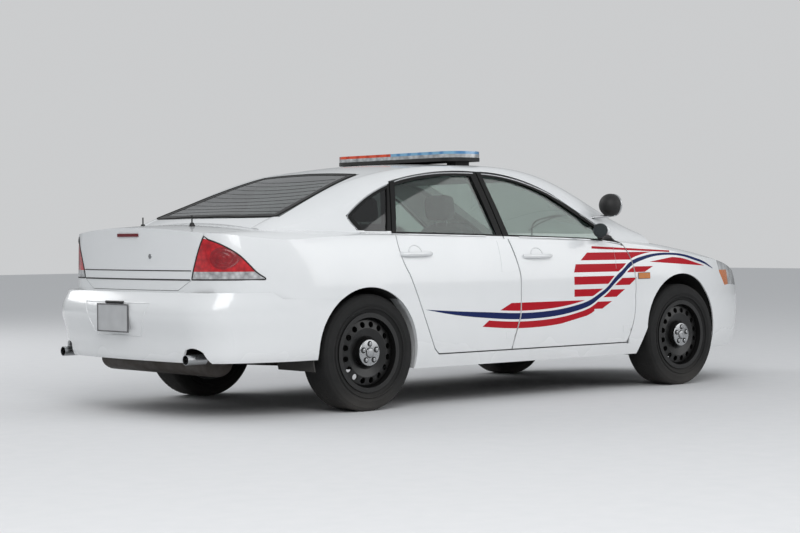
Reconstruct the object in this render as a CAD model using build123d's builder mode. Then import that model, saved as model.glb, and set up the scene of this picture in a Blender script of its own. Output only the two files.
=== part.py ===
from build123d import *
from math import asin, cos, hypot, radians, sin
import os

# A four-door police patrol car, in millimetres. +X is forward, +Y is the car's left, +Z is up.
# The origin is on the ground, at the middle of the car's length and width.

# Main sizes of the car
body_length = 5090.0
body_width = 1852.0
wheelbase = 2807.0
rear_overhang = 1185.0
track_front = 1585.0
track_rear = 1562.0
roof_height = 1491.0
sill_bottom = 234.0
belt_height = 1000.0

# Walls, gaps and fits
skin = 12.0
door_wall = 70.0
pillar_wall = 35.0
glass_wall = 5.0
panel_gap = 6.0
door_edge = 5.0
seat_gap = 0.3

# Wheels and tyres
tyre_radius = 343.0
tyre_width = 235.0
rim_radius = 216.0
rim_flange_radius = 233.5
rim_width = 212.0
wheel_offset = 50.0
hand_hole_count = 16
hand_hole_radius = 18.0
hand_hole_circle = 166.0
centre_cap_radius = 78.0

# Places that follow from the main sizes
half_length = body_length / 2
half_width = body_width / 2
rear_axle_x = -half_length + rear_overhang
front_axle_x = rear_axle_x + wheelbase
front_wheel_y = track_front / 2
rear_wheel_y = track_rear / 2
hub_face_front = front_wheel_y + wheel_offset - seat_gap
hub_face_rear = rear_wheel_y + wheel_offset - seat_gap

# Steering axis of a front wheel: its half distance apart at two heights
kingpin_low_z = 200.0
kingpin_low_y = 760.0
kingpin_high_z = 850.0
kingpin_high_y = 600.0

# Wheel arches, as circles seen from the side
front_arch_x = front_axle_x - 17.0
front_arch_z = 408.0
front_arch_radius = 352.0
rear_arch_x = rear_axle_x - 25.0
rear_arch_z = 347.0
rear_arch_radius = 380.0
front_house_radius = 425.0
rear_house_radius = 392.0
front_house_inner_y = 490.0
rear_house_inner_y = 560.0
front_house_z = 374.0

# Door hinges
front_hinge_set_back = 66.0
rear_hinge_set_back = 76.0
hinge_pin_y = half_width - 20.0
hinge_pin_radius = 9.0
hinge_half_height = 30.0
hinge_heights = (430.0, 760.0)
front_hinge_x = 948.0 - front_hinge_set_back
rear_hinge_x = -134.0 - rear_hinge_set_back

# Hinge lines of the hood and the boot lid
hood_pin_x = 1250.0
hood_pin_z = 948.0
lid_pin_x = -1825.0
lid_pin_z = 1044.0

# Height of the scuttle's foot, and how far behind its hinge line a door is full depth
cowl_z = 926.0
door_box_back = 40.0

os.makedirs("parts", exist_ok=True)


def end_arcs(reach, width, nose_radius, nose_share, corner_radius, corner_angle):
    """Half of a car end in plan: three tangent arcs from the middle round to the side."""
    start = asin(nose_share * width / nose_radius)
    stop = radians(corner_angle)
    x1 = reach - nose_radius * (1 - cos(start))
    y1 = nose_radius * sin(start)
    x2 = x1 - corner_radius * (cos(start) - cos(stop))
    y2 = y1 + corner_radius * (sin(stop) - sin(start))
    side_radius = (width - y2) / (1 - sin(stop))
    x3 = x2 - side_radius * cos(stop)
    half_corner = (start + stop) / 2
    half_side = (stop + radians(90)) / 2
    corner_x = x1 - corner_radius * cos(start) + corner_radius * cos(half_corner)
    corner_y = y1 - corner_radius * sin(start) + corner_radius * sin(half_corner)
    side_x = x3 + side_radius * cos(half_side)
    side_y = width - side_radius + side_radius * sin(half_side)
    return (x1, y1), (corner_x, corner_y), (x2, y2), (side_x, side_y), (x3, width)


def plan_section(height, nose, tail, width, inset=0.0):
    """The car's outline at one height, moved inwards by inset."""
    front = end_arcs(nose - inset, width - inset, 1720.0, 0.487, 420.0, 60.0)
    rear = end_arcs(tail - inset, width - inset, 3200.0, 0.652, 300.0, 65.0)
    with BuildSketch(Plane.XY.offset(height)) as section:
        with BuildLine():
            for side in (1, -1):
                p1, corner, p2, flank, p3 = [(x, side * y) for x, y in front]
                ThreePointArc(p1, corner, p2)
                ThreePointArc(p2, flank, p3)
                q1, q_corner, q2, q_flank, q3 = [(-x, side * y) for x, y in rear]
                Line(p3, q3)
                ThreePointArc(q3, q_flank, q2)
                ThreePointArc(q2, q_corner, q1)
            ThreePointArc(front[0], (nose - inset, 0), (front[0][0], -front[0][1]))
            ThreePointArc((-rear[0][0], rear[0][1]), (inset - tail, 0), (-rear[0][0], -rear[0][1]))
        make_face()
    return section.sketch


def top_section(x, middle, edge_y, edge_z, flank_z, inset=0.0):
    """The car's top across its width at one station: a crown between two rounded shoulders."""
    flank_y = half_width + 34.0
    bend_y = edge_y + 0.58 * (flank_y - edge_y)
    bend_z = edge_z - 0.27 * (edge_z - flank_z) - inset
    with BuildSketch(Plane.YZ.offset(x)) as section:
        with BuildLine():
            ThreePointArc((-edge_y, edge_z - inset), (0, middle - inset), (edge_y, edge_z - inset))
            for side in (1, -1):
                ThreePointArc(
                    (side * edge_y, edge_z - inset), (side * bend_y, bend_z), (side * flank_y, flank_z - inset)
                )
                Line((side * flank_y, flank_z - inset), (side * flank_y, 100))
            Line((-flank_y, 100), (flank_y, 100))
        make_face()
    return section.sketch


def cabin_section(x, middle, roof_y, roof_z, rail_y, rail_z, belt_y, inset=0.0):
    """The greenhouse across its width at one station: crown, rounded rails and leaning sides."""
    base_z = 800.0
    base_y = belt_y + 25.0 - inset
    span = hypot(rail_y - roof_y, roof_z - rail_z)
    lean_y = (roof_z - rail_z) / span
    lean_z = (rail_y - roof_y) / span
    bulge = 0.12 * span - inset
    bend_y = (roof_y + rail_y) / 2 + lean_y * bulge
    bend_z = (roof_z + rail_z) / 2 + lean_z * bulge
    foot_y = rail_y - inset
    foot_z = rail_z - 0.6 * inset
    flank_y = (foot_y + base_y) / 2 + 13.0
    flank_z = (foot_z + base_z) / 2
    with BuildSketch(Plane.YZ.offset(x)) as section:
        with BuildLine():
            ThreePointArc((-roof_y, roof_z - inset), (0, middle - inset), (roof_y, roof_z - inset))
            for side in (1, -1):
                ThreePointArc((side * roof_y, roof_z - inset), (side * bend_y, bend_z), (side * foot_y, foot_z))
                ThreePointArc((side * foot_y, foot_z), (side * flank_y, flank_z), (side * base_y, base_z))
            Line((-base_y, base_z), (base_y, base_z))
        make_face()
    return section.sketch


# Outlines of the lower body, from the sills up: height, reach to the front, reach to the rear, half width
body_levels = (
    (200.0, 2455.0, 2400.0, 892.0),
    (380.0, 2532.0, 2415.0, 917.0),
    (620.0, 2540.0, 2425.0, half_width),
    (860.0, 2440.0, 2431.0, 914.0),
    (belt_height, 2300.0, 2438.0, 872.0),
    (1110.0, 2150.0, 2442.0, 826.0),
)

# Outlines of the rear bumper: height, reach to the front, reach to the rear, half width
bumper_levels = (
    (320.0, 2510.0, 2500.0, 904.0),
    (380.0, 2532.0, 2512.0, 918.0),
    (455.0, 2540.0, 2515.0, 921.0),
    (560.0, half_length, half_length, half_width - 2.0),
    (640.0, 2530.0, 2537.0, half_width - 1.0),
    (712.0, 2505.0, 2500.0, half_width),
)

# Top of the hood, belt and boot: station, middle height, crown edge across and up, flank height
top_stations = (
    (-2600.0, 1062.0, 600.0, 1028.0, 830.0),
    (-2287.0, 1091.0, 650.0, 1050.0, 865.0),
    (-1930.0, 1100.0, 690.0, 1060.0, 905.0),
    (-1100.0, 1046.0, 810.0, 1036.0, 943.0),
    (300.0, 1003.0, 835.0, 998.0, 925.0),
    (1118.0, 1018.0, 745.0, 983.0, 893.0),
    (1545.0, 968.0, 740.0, 927.0, 835.0),
    (1969.0, 888.0, 700.0, 850.0, 745.0),
    (2300.0, 797.0, 630.0, 757.0, 620.0),
    (2600.0, 690.0, 560.0, 640.0, 480.0),
)

# Greenhouse: station, middle height, roof edge across and up, rail across and up, half width at the belt
cabin_stations = (
    (-2060.0, 1052.0, 560.0, 1026.0, 690.0, 985.0, 820.0),
    (-1683.0, 1206.0, 560.0, 1194.0, 725.0, 1120.0, 850.0),
    (-1211.0, 1372.0, 540.0, 1362.0, 715.0, 1285.0, 864.0),
    (-850.0, 1458.0, 543.0, 1434.0, 694.0, 1388.0, 867.0),
    (-300.0, roof_height, 556.0, 1464.0, 686.0, 1431.0, 867.0),
    (150.0, 1484.0, 560.0, 1450.0, 708.0, 1365.0, 867.0),
    (450.0, 1428.0, 565.0, 1388.0, 755.0, 1240.0, 867.0),
    (900.0, 1243.0, 600.0, 1186.0, 838.0, 1010.0, 862.0),
    (1450.0, 985.0, 640.0, 925.0, 780.0, 905.0, 820.0),
)


def lower_body(inset, levels=body_levels):
    """The body below the glass as one solid, moved inwards by inset."""
    with BuildPart() as lower:
        loft(sections=[plan_section(*level, inset=inset) for level in levels])
    return lower.part


def body_top(inset):
    """The solid that caps the lower body, moved down by inset."""
    with BuildPart() as cap:
        loft(sections=[top_section(*station, inset=inset) for station in top_stations])
    return cap.part


def greenhouse(inset):
    """The cabin above the belt as one solid, moved inwards by inset."""
    with BuildPart() as cabin:
        loft(sections=[cabin_section(*station, inset=inset) for station in cabin_stations])
    return cabin.part


def outline(start, *runs):
    """A closed outline: a run of one point is a straight edge, a run of two is an arc."""
    with BuildSketch() as face:
        with BuildLine():
            here = start
            for run in runs:
                if len(run) == 1:
                    Line(here, run[0])
                else:
                    ThreePointArc(here, run[0], run[1])
                here = run[-1]
            if here != start:
                Line(here, start)
        make_face()
    return face.sketch


def grown(shape, amount):
    """An outline moved outwards by amount, or inwards when amount is negative."""
    with BuildSketch() as face:
        add(shape)
        offset(amount=amount, kind=Kind.ARC)
    return face.sketch


def side_prism(shape, near=-1200.0, far=1200.0):
    """A block with an outline seen from the side, between two distances across the car."""
    with BuildPart() as block:
        with BuildSketch(Plane.XZ.offset(-far)):
            add(shape)
        extrude(amount=far - near)
    return block.part


def plan_prism(shape, low, high):
    """A block with an outline seen from above, between two heights."""
    with BuildPart() as block:
        with BuildSketch(Plane.XY.offset(low)):
            add(shape)
        extrude(amount=high - low)
    return block.part


def end_prism(shape, rear, front):
    """A block with an outline seen from the front, between two stations."""
    with BuildPart() as block:
        with BuildSketch(Plane.YZ.offset(rear)):
            add(shape)
        extrude(amount=front - rear)
    return block.part


def block(x_range, y_range, z_range):
    """A plain box between two stations, two distances across and two heights."""
    with BuildPart() as box:
        with BuildSketch(Plane.XY.offset(z_range[0])):
            with Locations(((x_range[0] + x_range[1]) / 2, (y_range[0] + y_range[1]) / 2)):
                Rectangle(x_range[1] - x_range[0], y_range[1] - y_range[0])
        extrude(amount=z_range[1] - z_range[0])
    return box.part


def cross_rod(x, z, radius, near, far):
    """A round bar across the car at one station and height."""
    with BuildPart() as rod:
        with BuildSketch(Plane.XZ.offset(-far)):
            with Locations((x, z)):
                Circle(radius)
        extrude(amount=far - near)
    return rod.part


def cut(*tools):
    """Take these solids away from the piece being made."""
    add(tools, clean=False, mode=Mode.SUBTRACT)


def keep(*zones):
    """Keep only what lies inside these solids."""
    add(zones, clean=False, mode=Mode.INTERSECT)


def join(*solids):
    """Add these solids to the piece being made."""
    add(solids, clean=False)


def write_pair(left, name):
    """Write a left piece and its mirror image as one node."""
    with BuildPart() as pair:
        join(left, left.mirror(Plane.XZ))
    pair.part.label = name
    export_step(pair.part, "parts/" + name + ".step")


def write_sides(left, name):
    """Write a left piece and its mirror image as two nodes."""
    with BuildPart() as here:
        join(left)
    here.part.label = name + "_left"
    export_step(here.part, "parts/" + name + "_left.step")
    with BuildPart() as there:
        join(left.mirror(Plane.XZ))
    there.part.label = name + "_right"
    export_step(there.part, "parts/" + name + "_right.step")


# The forms that the panels are cut from: the outside, and what lies inside each kind of wall

with BuildPart() as lower_form:
    join(lower_body(0))
    keep(body_top(0))

with BuildPart() as outer_form:
    join(lower_form.part)
    join(greenhouse(0))


with BuildPart() as under_skin:
    join(lower_body(skin))
    keep(body_top(skin))


def room_inside(wall_y, sill_y, rail_y, rail_z):
    """The space between the flat inner faces of the body sides, under the roof lining."""
    with BuildPart() as room:
        with BuildSketch(Plane.YZ.offset(-2000)):
            with BuildLine():
                Polyline(
                    (-wall_y, 100), (wall_y, 100), (wall_y, 985), (sill_y, belt_height), (rail_y, rail_z),
                    (-rail_y, rail_z), (-sill_y, belt_height), (-wall_y, 985), close=True,
                )
            make_face()
        extrude(amount=3400)
        keep(side_prism(lining_outline))
    return room.part


# Side view of the roof lining, from the foot of the rear window to the foot of the windshield
lining_outline = outline(
    (-1990.0, 100.0), ((-1990.0, 1020.0),), ((-1480.0, 1225.0),), ((-1211.0, 1318.0),), ((-780.0, 1418.0), (-300.0, 1424.0)),
    ((80.0, 1420.0), (420.0, 1350.0)), ((900.0, 1132.0),), ((1180.0, 985.0),), ((1180.0, 100.0),)
)
post_gap = 24.0
post_depth = 34.0
door_core = room_inside(half_width - door_wall - 4.0, 832.0, 632.0, 1460.0)
post_form = room_inside(half_width - door_wall - post_gap, 826.0, 626.0, 1460.0)
with BuildPart() as cabin_space:
    join(room_inside(half_width - door_wall - post_gap - post_depth, 786.0, 586.0, 1460.0))
    for side in (1, -1):
        cut(block((-2000, -1240), tuple(sorted((side * 600, side * 1100))), (990, 1500)))

with BuildPart() as glass_shell:
    join(greenhouse(0))
    cut(greenhouse(glass_wall))

# Seams seen from the side, as stations and heights
door_bottom_z = 312.0
front_door_outline = outline(
    (870.0, door_bottom_z),
    ((936.0, 450.0), (949.0, 620.0)),
    ((938.0, 800.0), (869.0, 953.0)),
    ((713.0, 1075.0),),
    ((338.0, 1290.0),),
    ((30.0, 1391.0), (-300.0, 1423.0)),
    ((-199.0, 1015.0),),
    ((-141.0, 800.0),),
    ((-135.9, 776.0), (-134.0, 752.0)),
    ((-134.0, 548.0),),
    ((-136.0, 523.7), (-142.0, 500.0)),
    ((-209.0, door_bottom_z),),
)
rear_door_outline = outline(
    (-209.0, door_bottom_z),
    ((-142.0, 500.0),),
    ((-136.0, 523.7), (-134.0, 548.0)),
    ((-134.0, 752.0),),
    ((-135.9, 776.0), (-141.0, 800.0)),
    ((-199.0, 1015.0),),
    ((-300.0, 1423.0),),
    ((-690.0, 1412.0), (-1035.0, 1351.0)),
    ((-1125.0, 1031.0),),
    ((-1125.0, 925.0), (-1071.0, 797.0)),
    ((-864.0, 345.0),),
    ((-828.0, door_bottom_z),),
)
front_window_outline = outline(
    (-149.0, 1029.0),
    ((540.0, 1007.0),),
    ((795.0, 986.0),),
    ((699.0, 1052.0),),
    ((325.0, 1267.0),),
    ((30.0, 1363.0), (-252.0, 1395.0)),
)
rear_window_outline = outline(
    (-1082.0, 1050.0),
    ((-255.0, 1031.0),),
    ((-350.0, 1396.0),),
    ((-690.0, 1384.0), (-1000.0, 1328.0)),
)
quarter_window_outline = outline(
    (-1322.0, 1053.0),
    ((-1152.0, 1051.0),),
    ((-1065.0, 1312.0),),
    ((-1230.0, 1238.0), (-1390.0, 1143.0)),
)

# Seams seen from above and from the ends
hood_outline = outline(
    (1240.0, 692.0),
    ((1900.0, 655.0),),
    ((2290.0, 590.0),),
    ((2432.0, 0.0), (2290.0, -590.0)),
    ((1900.0, -655.0),),
    ((1240.0, -692.0),),
    ((1450.0, 0.0), (1240.0, 692.0)),
)
roof_outline = outline((-1078.0, 575.0), ((372.0, 575.0),), ((372.0, -575.0),), ((-1078.0, -575.0),))
rear_deck_outline = outline((-1980.0, 642.0), ((-1800.0, 642.0),), ((-1800.0, -642.0),), ((-1980.0, -642.0),))
lid_outline = outline(
    (-436.0, 720.0),
    ((436.0, 720.0),),
    ((545.0, 780.0),),
    ((556.0, 832.0),),
    ((645.0, 1050.0),),
    ((645.0, 1200.0),),
    ((-645.0, 1200.0),),
    ((-645.0, 1050.0),),
    ((-556.0, 832.0),),
    ((-545.0, 780.0),),
)
lid_front_x = -1980.0
lid_neck_outline = outline(
    (-1813.0, 1056.0), ((-1813.0, 868.0),), ((-2078.0, 868.0),), ((-2078.0, 1062.0),), ((-2054.0, 1062.0),),
    ((-2054.0, 892.0),), ((-1837.0, 892.0),), ((-1837.0, 1056.0),)
)
tail_lamp_outline = outline(
    (-2100.0, 782.0), ((-2150.0, 828.0),), ((-2228.0, 917.0),), ((-2352.0, 1009.0),), ((-2480.0, 1062.0),), ((-2480.0, 782.0),)
)
rear_bumper_outline = outline(
    (-1560.0, 662.0), ((-2017.0, 675.0),), ((-2078.0, 712.0),), ((-2700.0, 712.0),), ((-2700.0, 333.0),), ((-1700.0, 285.0),)
)
front_bumper_outline = outline(
    (1700.0, 240.0), ((2600.0, 240.0),), ((2600.0, 765.0),), ((2250.0, 765.0),), ((1900.0, 705.0),), ((1700.0, 600.0),)
)
headlamp_outline = outline(
    (480.0, 640.0), ((505.0, 742.0),), ((640.0, 800.0),), ((960.0, 880.0),), ((960.0, 650.0),), ((800.0, 672.0),)
)
headlamp_side_outline = outline(
    (1905.0, 900.0), ((1912.0, 837.0),), ((1927.0, 760.0),), ((2000.0, 672.0),), ((2100.0, 630.0),),
    ((2600.0, 630.0),), ((2600.0, 900.0),)
)

# The windshield and rear window, cut square to the glass
windshield_plane = Plane(origin=(870, 0, 1240), x_dir=(0, 1, 0), z_dir=(sin(radians(24.2)), 0, cos(radians(24.2))))
rear_window_plane = Plane(origin=(-1500, 0, 1270), x_dir=(0, 1, 0), z_dir=(-sin(radians(19.2)), 0, cos(radians(19.2))))
windshield_outline = outline(
    (-560.0, 543.0), ((0.0, 556.0), (560.0, 543.0)), ((650.0, -400.0),), ((0.0, -560.0), (-650.0, -400.0))
)
rear_glass_outline = outline(
    (-468.0, -452.0), ((-630.0, 345.0),), ((0.0, 450.0), (630.0, 345.0)), ((468.0, -452.0),), ((0.0, -446.0), (-468.0, -452.0))
)


def glass_prism(plane, shape):
    """A block square to a window, long enough to pass right through the wall."""
    with BuildPart() as cutter:
        with BuildSketch(plane.offset(-160)):
            add(shape)
        extrude(amount=320)
    return cutter.part


windshield_cut = glass_prism(windshield_plane, windshield_outline)
rear_window_cut = glass_prism(rear_window_plane, rear_glass_outline)
front_door_cut = side_prism(grown(front_door_outline, panel_gap / 2), 0)
rear_door_cut = side_prism(grown(rear_door_outline, panel_gap / 2), 0)
lid_cut = end_prism(lid_outline, -2700, lid_front_x)
rear_bumper_cut = side_prism(rear_bumper_outline)
front_bumper_cut = side_prism(front_bumper_outline)
hood_cut = plan_prism(hood_outline, 640, 1200)
roof_cut = plan_prism(roof_outline, 1250, 1600)
rear_deck_cut = plan_prism(rear_deck_outline, 1000, 1200)
left_half = block((-2700, 2700), (0.0, 1100), (sill_bottom, 1600))

with BuildPart() as headlamp_cut:
    add(end_prism(headlamp_outline, 1800, 2700))
    add(side_prism(headlamp_side_outline), mode=Mode.INTERSECT)

with BuildPart() as tail_lamp_cut:
    add(side_prism(tail_lamp_outline, 0))
    add(lid_cut, mode=Mode.SUBTRACT)

# Body side: quarter panel, pillars, roof rail and sill, with the frame that the doors close on
rear_arch_cut = cross_rod(rear_arch_x, rear_arch_z, rear_arch_radius, 500, 1100)
with BuildPart() as front_arch:
    join(cross_rod(front_arch_x, front_arch_z, front_arch_radius, 500, 1100))
    join(cross_rod(front_axle_x, 365, 370, 500, 1100))
    join(side_prism(outline((1080.0, 405.0), ((1814.0, 405.0),), ((1800.0, 200.0),), ((960.0, 200.0),)), 500, 1100))
front_arch_cut = front_arch.part

with BuildPart() as quarter_space:
    join(under_skin.part)
    keep(block((-2700, -1138), (-100, 1100), (100, 1200)))

with BuildPart() as door_space:
    join(front_door_cut, rear_door_cut)
    cut(post_form)

with BuildPart() as doorways:
    for door_outline in (front_door_outline, rear_door_outline):
        join(side_prism(grown(door_outline, -80.0), 0))
        join(side_prism(grown(door_outline, -26.0), 0) & block((-2000, 2000), (0, 1200), (985, 1600)))

with BuildPart() as front_post:
    join(door_core)
    keep(under_skin.part)

with BuildPart() as cabin_foot:
    join(greenhouse(0))
    keep(block((800, 1205), (0, 1100), (700, 1600)))

with BuildPart() as fender_zone:
    join(lower_form.part)
    keep(block((869, 2700), (-100, 1100), (100, 1200)))
    cut(front_post.part)
    cut(cabin_foot.part)

with BuildPart() as wheel_house_seat:
    join(cross_rod(front_arch_x, front_house_z, front_house_radius + 9, 400, 1100))
    join(cross_rod(rear_arch_x, rear_arch_z, rear_house_radius + 9, 500, 893))

with BuildPart() as body_side:
    join(outer_form.part)
    keep(left_half)
    for cutter in (
        rear_arch_cut, block((1205, 2700), (0, 1100), (200, 1600)), wheel_house_seat.part, lid_cut, rear_bumper_cut, roof_cut,
        windshield_cut, rear_window_cut, rear_deck_cut, tail_lamp_cut.part, cabin_space.part, quarter_space.part,
        doorways.part, door_space.part, side_prism(quarter_window_outline, 0), fender_zone.part,
        block((1100, 1300), (0, 680.3), (200, cowl_z)), block((760, 800), (800, 850), (980, 1004)),
    ):
        cut(cutter)

# Hinge pins of the doors: station and the station of the post that carries them
hinges = (
    ("front", front_hinge_x, 873.0),
    ("rear", rear_hinge_x, -214.0),
)
leaf_half = 5.0
corner_swing = 15.0


def hinge_pocket(pin_x):
    """The room that a door leaves round one hinge, open inwards and forwards."""
    with BuildPart() as room:
        for height in hinge_heights:
            join(block((pin_x - 24, pin_x + 120), (700, hinge_pin_y + 12), (height - 42, height + 42)))
    return room.part


def swing_room(pin_x):
    """The room that a door's lower front corner sweeps as it opens."""
    with BuildPart() as room:
        with BuildSketch(Plane.XY.offset(door_bottom_z - 7)):
            with Locations((pin_x, hinge_pin_y)):
                Circle(corner_swing)
        extrude(amount=95)
    return room.part


def hinge_knuckle(pin_x, height, low, high):
    """Half of a hinge barrel, standing on its pin line."""
    with BuildPart() as barrel:
        with BuildSketch(Plane.XY.offset(height + low)):
            with Locations((pin_x, hinge_pin_y)):
                Circle(hinge_pin_radius)
        extrude(amount=high - low)
    return barrel.part


with BuildPart() as body_side_with_hinges:
    join(max(body_side.part.solids(), key=lambda piece: piece.volume))
    for word, pin_x, post_x in hinges:
        for height in hinge_heights:
            join(hinge_knuckle(pin_x, height, seat_gap, hinge_half_height))
            join(block((pin_x - leaf_half, pin_x + leaf_half), (830, hinge_pin_y), (height + seat_gap, height + 30)))
            join(block((pin_x - 12, pin_x + 14), (822, 846), (height - 30, height + 30)))
write_sides(body_side_with_hinges.part, "body_side")

# Doors: outer skin and inner box in one wall, with the window cut and room left for the hinges
doors = (
    ("front", front_door_outline, front_window_outline, front_hinge_x),
    ("rear", rear_door_outline, rear_window_outline, rear_hinge_x),
)
for word, door_outline, window_outline, pin_x in doors:
    with BuildPart() as door:
        join(outer_form.part)
        keep(side_prism(grown(door_outline, -door_edge), 0))
        cut(side_prism(window_outline, 0))
        cut(door_core)
        cut(hinge_pocket(pin_x))
        if word == "front":
            cut(swing_room(rear_hinge_x))
        cut(block((pin_x - door_box_back, pin_x + 120), (700, hinge_pin_y + 2), (door_bottom_z - 10, 985)))
        for height in hinge_heights:
            join(hinge_knuckle(pin_x, height, -hinge_half_height, -seat_gap))
            join(block((pin_x - 40, pin_x), (hinge_pin_y - 5, hinge_pin_y + 5), (height - 30, height - seat_gap)))
    write_sides(door.part, "door_" + word)
    with BuildPart() as glass:
        join(glass_shell.part)
        keep(side_prism(grown(window_outline, -seat_gap), 0))
    write_sides(glass.part.moved(Location((0, -14, 0))), "door_glass_" + word)

# Roof, glass and the panels at both ends
with BuildPart() as roof_panel:
    join(outer_form.part)
    keep(roof_cut)
    cut(side_prism(lining_outline))
    cut(windshield_cut)
    cut(rear_window_cut)
roof_panel.part.label = "roof_panel"
export_step(roof_panel.part, "parts/roof_panel.step")

with BuildPart() as windshield:
    join(glass_shell.part)
    keep(glass_prism(windshield_plane, grown(windshield_outline, -seat_gap)))
windshield.part.label = "windshield"
export_step(windshield.part, "parts/windshield.step")

with BuildPart() as rear_window:
    join(glass_shell.part)
    keep(glass_prism(rear_window_plane, grown(rear_glass_outline, -seat_gap)))
rear_window.part.label = "rear_window"
export_step(rear_window.part, "parts/rear_window.step")

with BuildPart() as quarter_glass:
    join(glass_shell.part)
    keep(side_prism(grown(quarter_window_outline, -seat_gap), 0))
write_pair(quarter_glass.part.moved(Location((0, -10, 0))), "quarter_glass")

with BuildPart() as rear_deck:
    join(outer_form.part)
    keep(rear_deck_cut)
    cut(rear_window_cut)
    cut(under_skin.part)
    cut(block((-2500, 0), (-1000, 1000), (900, 1060)))
    for near, far in ((570, 582), (-582, -570)):
        join(block((lid_pin_x - 16, lid_pin_x + 16), (near, far), (lid_pin_z - 14, 1064)))
    cut(cross_rod(lid_pin_x, lid_pin_z, 6 + seat_gap, -700, 700))
rear_deck.part.label = "rear_deck"
export_step(rear_deck.part, "parts/rear_deck.step")

with BuildPart() as hood:
    join(lower_form.part)
    keep(plan_prism(grown(hood_outline, -panel_gap / 2), 640, 1200))
    cut(under_skin.part)
    cut(block((2370, 2700), (-1000, 1000), (500, 738)))
    for near, far in ((636, 648), (-648, -636)):
        join(block((hood_pin_x - 12, 1340), (near, far), (hood_pin_z - 10, 960)))
    join(cross_rod(hood_pin_x, hood_pin_z, 6, 640, 668), cross_rod(hood_pin_x, hood_pin_z, 6, -668, -640))
hood.part.label = "hood"
export_step(hood.part, "parts/hood.step")

with BuildPart() as trunk_lid:
    join(lower_form.part)
    keep(end_prism(grown(lid_outline, -panel_gap / 2), -2700, lid_front_x - panel_gap))
    cut(under_skin.part)
    for near, far in ((554, 566), (-566, -554)):
        join(side_prism(lid_neck_outline, near, far))
    join(cross_rod(lid_pin_x, lid_pin_z, 6, 560, 584), cross_rod(lid_pin_x, lid_pin_z, 6, -584, -560))
trunk_lid.part.label = "trunk_lid"
export_step(trunk_lid.part, "parts/trunk_lid.step")

with BuildPart() as lamp_space:
    join(lower_body(60))
    keep(body_top(60))

with BuildPart() as headlamp:
    join(lower_form.part)
    keep(headlamp_cut.part)
    cut(hood_cut)
    cut(lamp_space.part)
write_pair(headlamp.part, "headlamps")

with BuildPart() as tail_lamp:
    join(lower_form.part)
    keep(tail_lamp_cut.part)
    cut(lamp_space.part)
write_pair(tail_lamp.part, "tail_lamps")

with BuildPart() as fender:
    join(lower_form.part)
    keep(block((869, 2700), (300, 1100), (sill_bottom, 1200)))
    cut(cabin_foot.part)
    for cutter in (
        front_door_cut, hood_cut, headlamp_cut.part, front_bumper_cut, front_arch_cut,
        under_skin.part, block((800, 1300), (0, 695), (100, 1200)),
        swing_room(front_hinge_x),
    ):
        cut(cutter)
write_pair(max(fender.part.solids(), key=lambda piece: piece.volume), "fenders")

with BuildPart() as front_bumper:
    join(lower_form.part)
    keep(front_bumper_cut)
    cut(hood_cut)
    for cutter in (headlamp_cut.part, headlamp_cut.part.mirror(Plane.XZ), front_arch_cut, front_arch_cut.mirror(Plane.XZ)):
        cut(cutter)
    cut(under_skin.part)
    cut(block((2300, 2700), (-465, 465), (612, 738)))
    cut(block((2300, 2700), (-540, 540), (330, 430)))
front_bumper.part.label = "front_bumper"
export_step(front_bumper.part, "parts/front_bumper.step")

with BuildPart() as bumper_space:
    join(lower_body(skin, bumper_levels))
    keep(block((-2600, 0), (-1000, 1000), (300, 700)))

with BuildPart() as rear_bumper:
    join(lower_body(0, bumper_levels))
    keep(rear_bumper_cut)
    cut(bumper_space.part)
    cut(rear_arch_cut)
    cut(rear_arch_cut.mirror(Plane.XZ))
    cut(block((-1900, 0), (-860, 860), (200, 1000)))
    cut(block((-2380, 0), (-700, 700), (690, 1000)))
    for side in (1, -1):
        cut(end_prism(
            outline((side * 560, 320.0), ((side * 585, 392.0),), ((side * 640, 404.0), (side * 700, 380.0)), ((side * 730, 320.0),)),
            -2700, -2250,
        ))
rear_bumper.part.label = "rear_bumper"
export_step(rear_bumper.part, "parts/rear_bumper.step")

grille_depth = 30.0
behind_grille = lower_body(grille_depth)
with BuildPart() as grille:
    join(lower_form.part)
    keep(block((2300, 2700), (-464.7, 464.7), (612.3, 737.7)))
    cut(behind_grille)
    for row in range(4):
        cut(block((2300, 2700), (-452, 452), (624 + 27 * row, 644 + 27 * row)))
grille.part.label = "grille"
export_step(grille.part, "parts/grille.step")

# Scuttle between the windshield's foot and the hood
scuttle_outline = outline(
    (1215.0, 620.0), ((1250.0, 628.0),), ((1462.0, 0.0), (1250.0, -628.0)), ((1215.0, -620.0),), ((1340.0, 0.0), (1215.0, 620.0))
)
with BuildPart() as cowl:
    with BuildSketch(Plane.XY.offset(cowl_z)):
        add(scuttle_outline)
    extrude(amount=12)
cowl.part.label = "cowl"
export_step(cowl.part, "parts/cowl.step")

# Floor, bulkhead, boot floor and rear panel as one folded sheet, with rails and wheel houses
floor_z = 250.0
sheet = 12.0
floor_half_width = 790.0
floor_rear_x = -980.0
boot_floor_z = 400.0
rear_panel_x = -2400.0
bulkhead_x = 983.0
bulkhead_top = cowl_z - seat_gap
rail_y = 440.0
house_wall = 8.0
tunnel_half = 110.0

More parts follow.
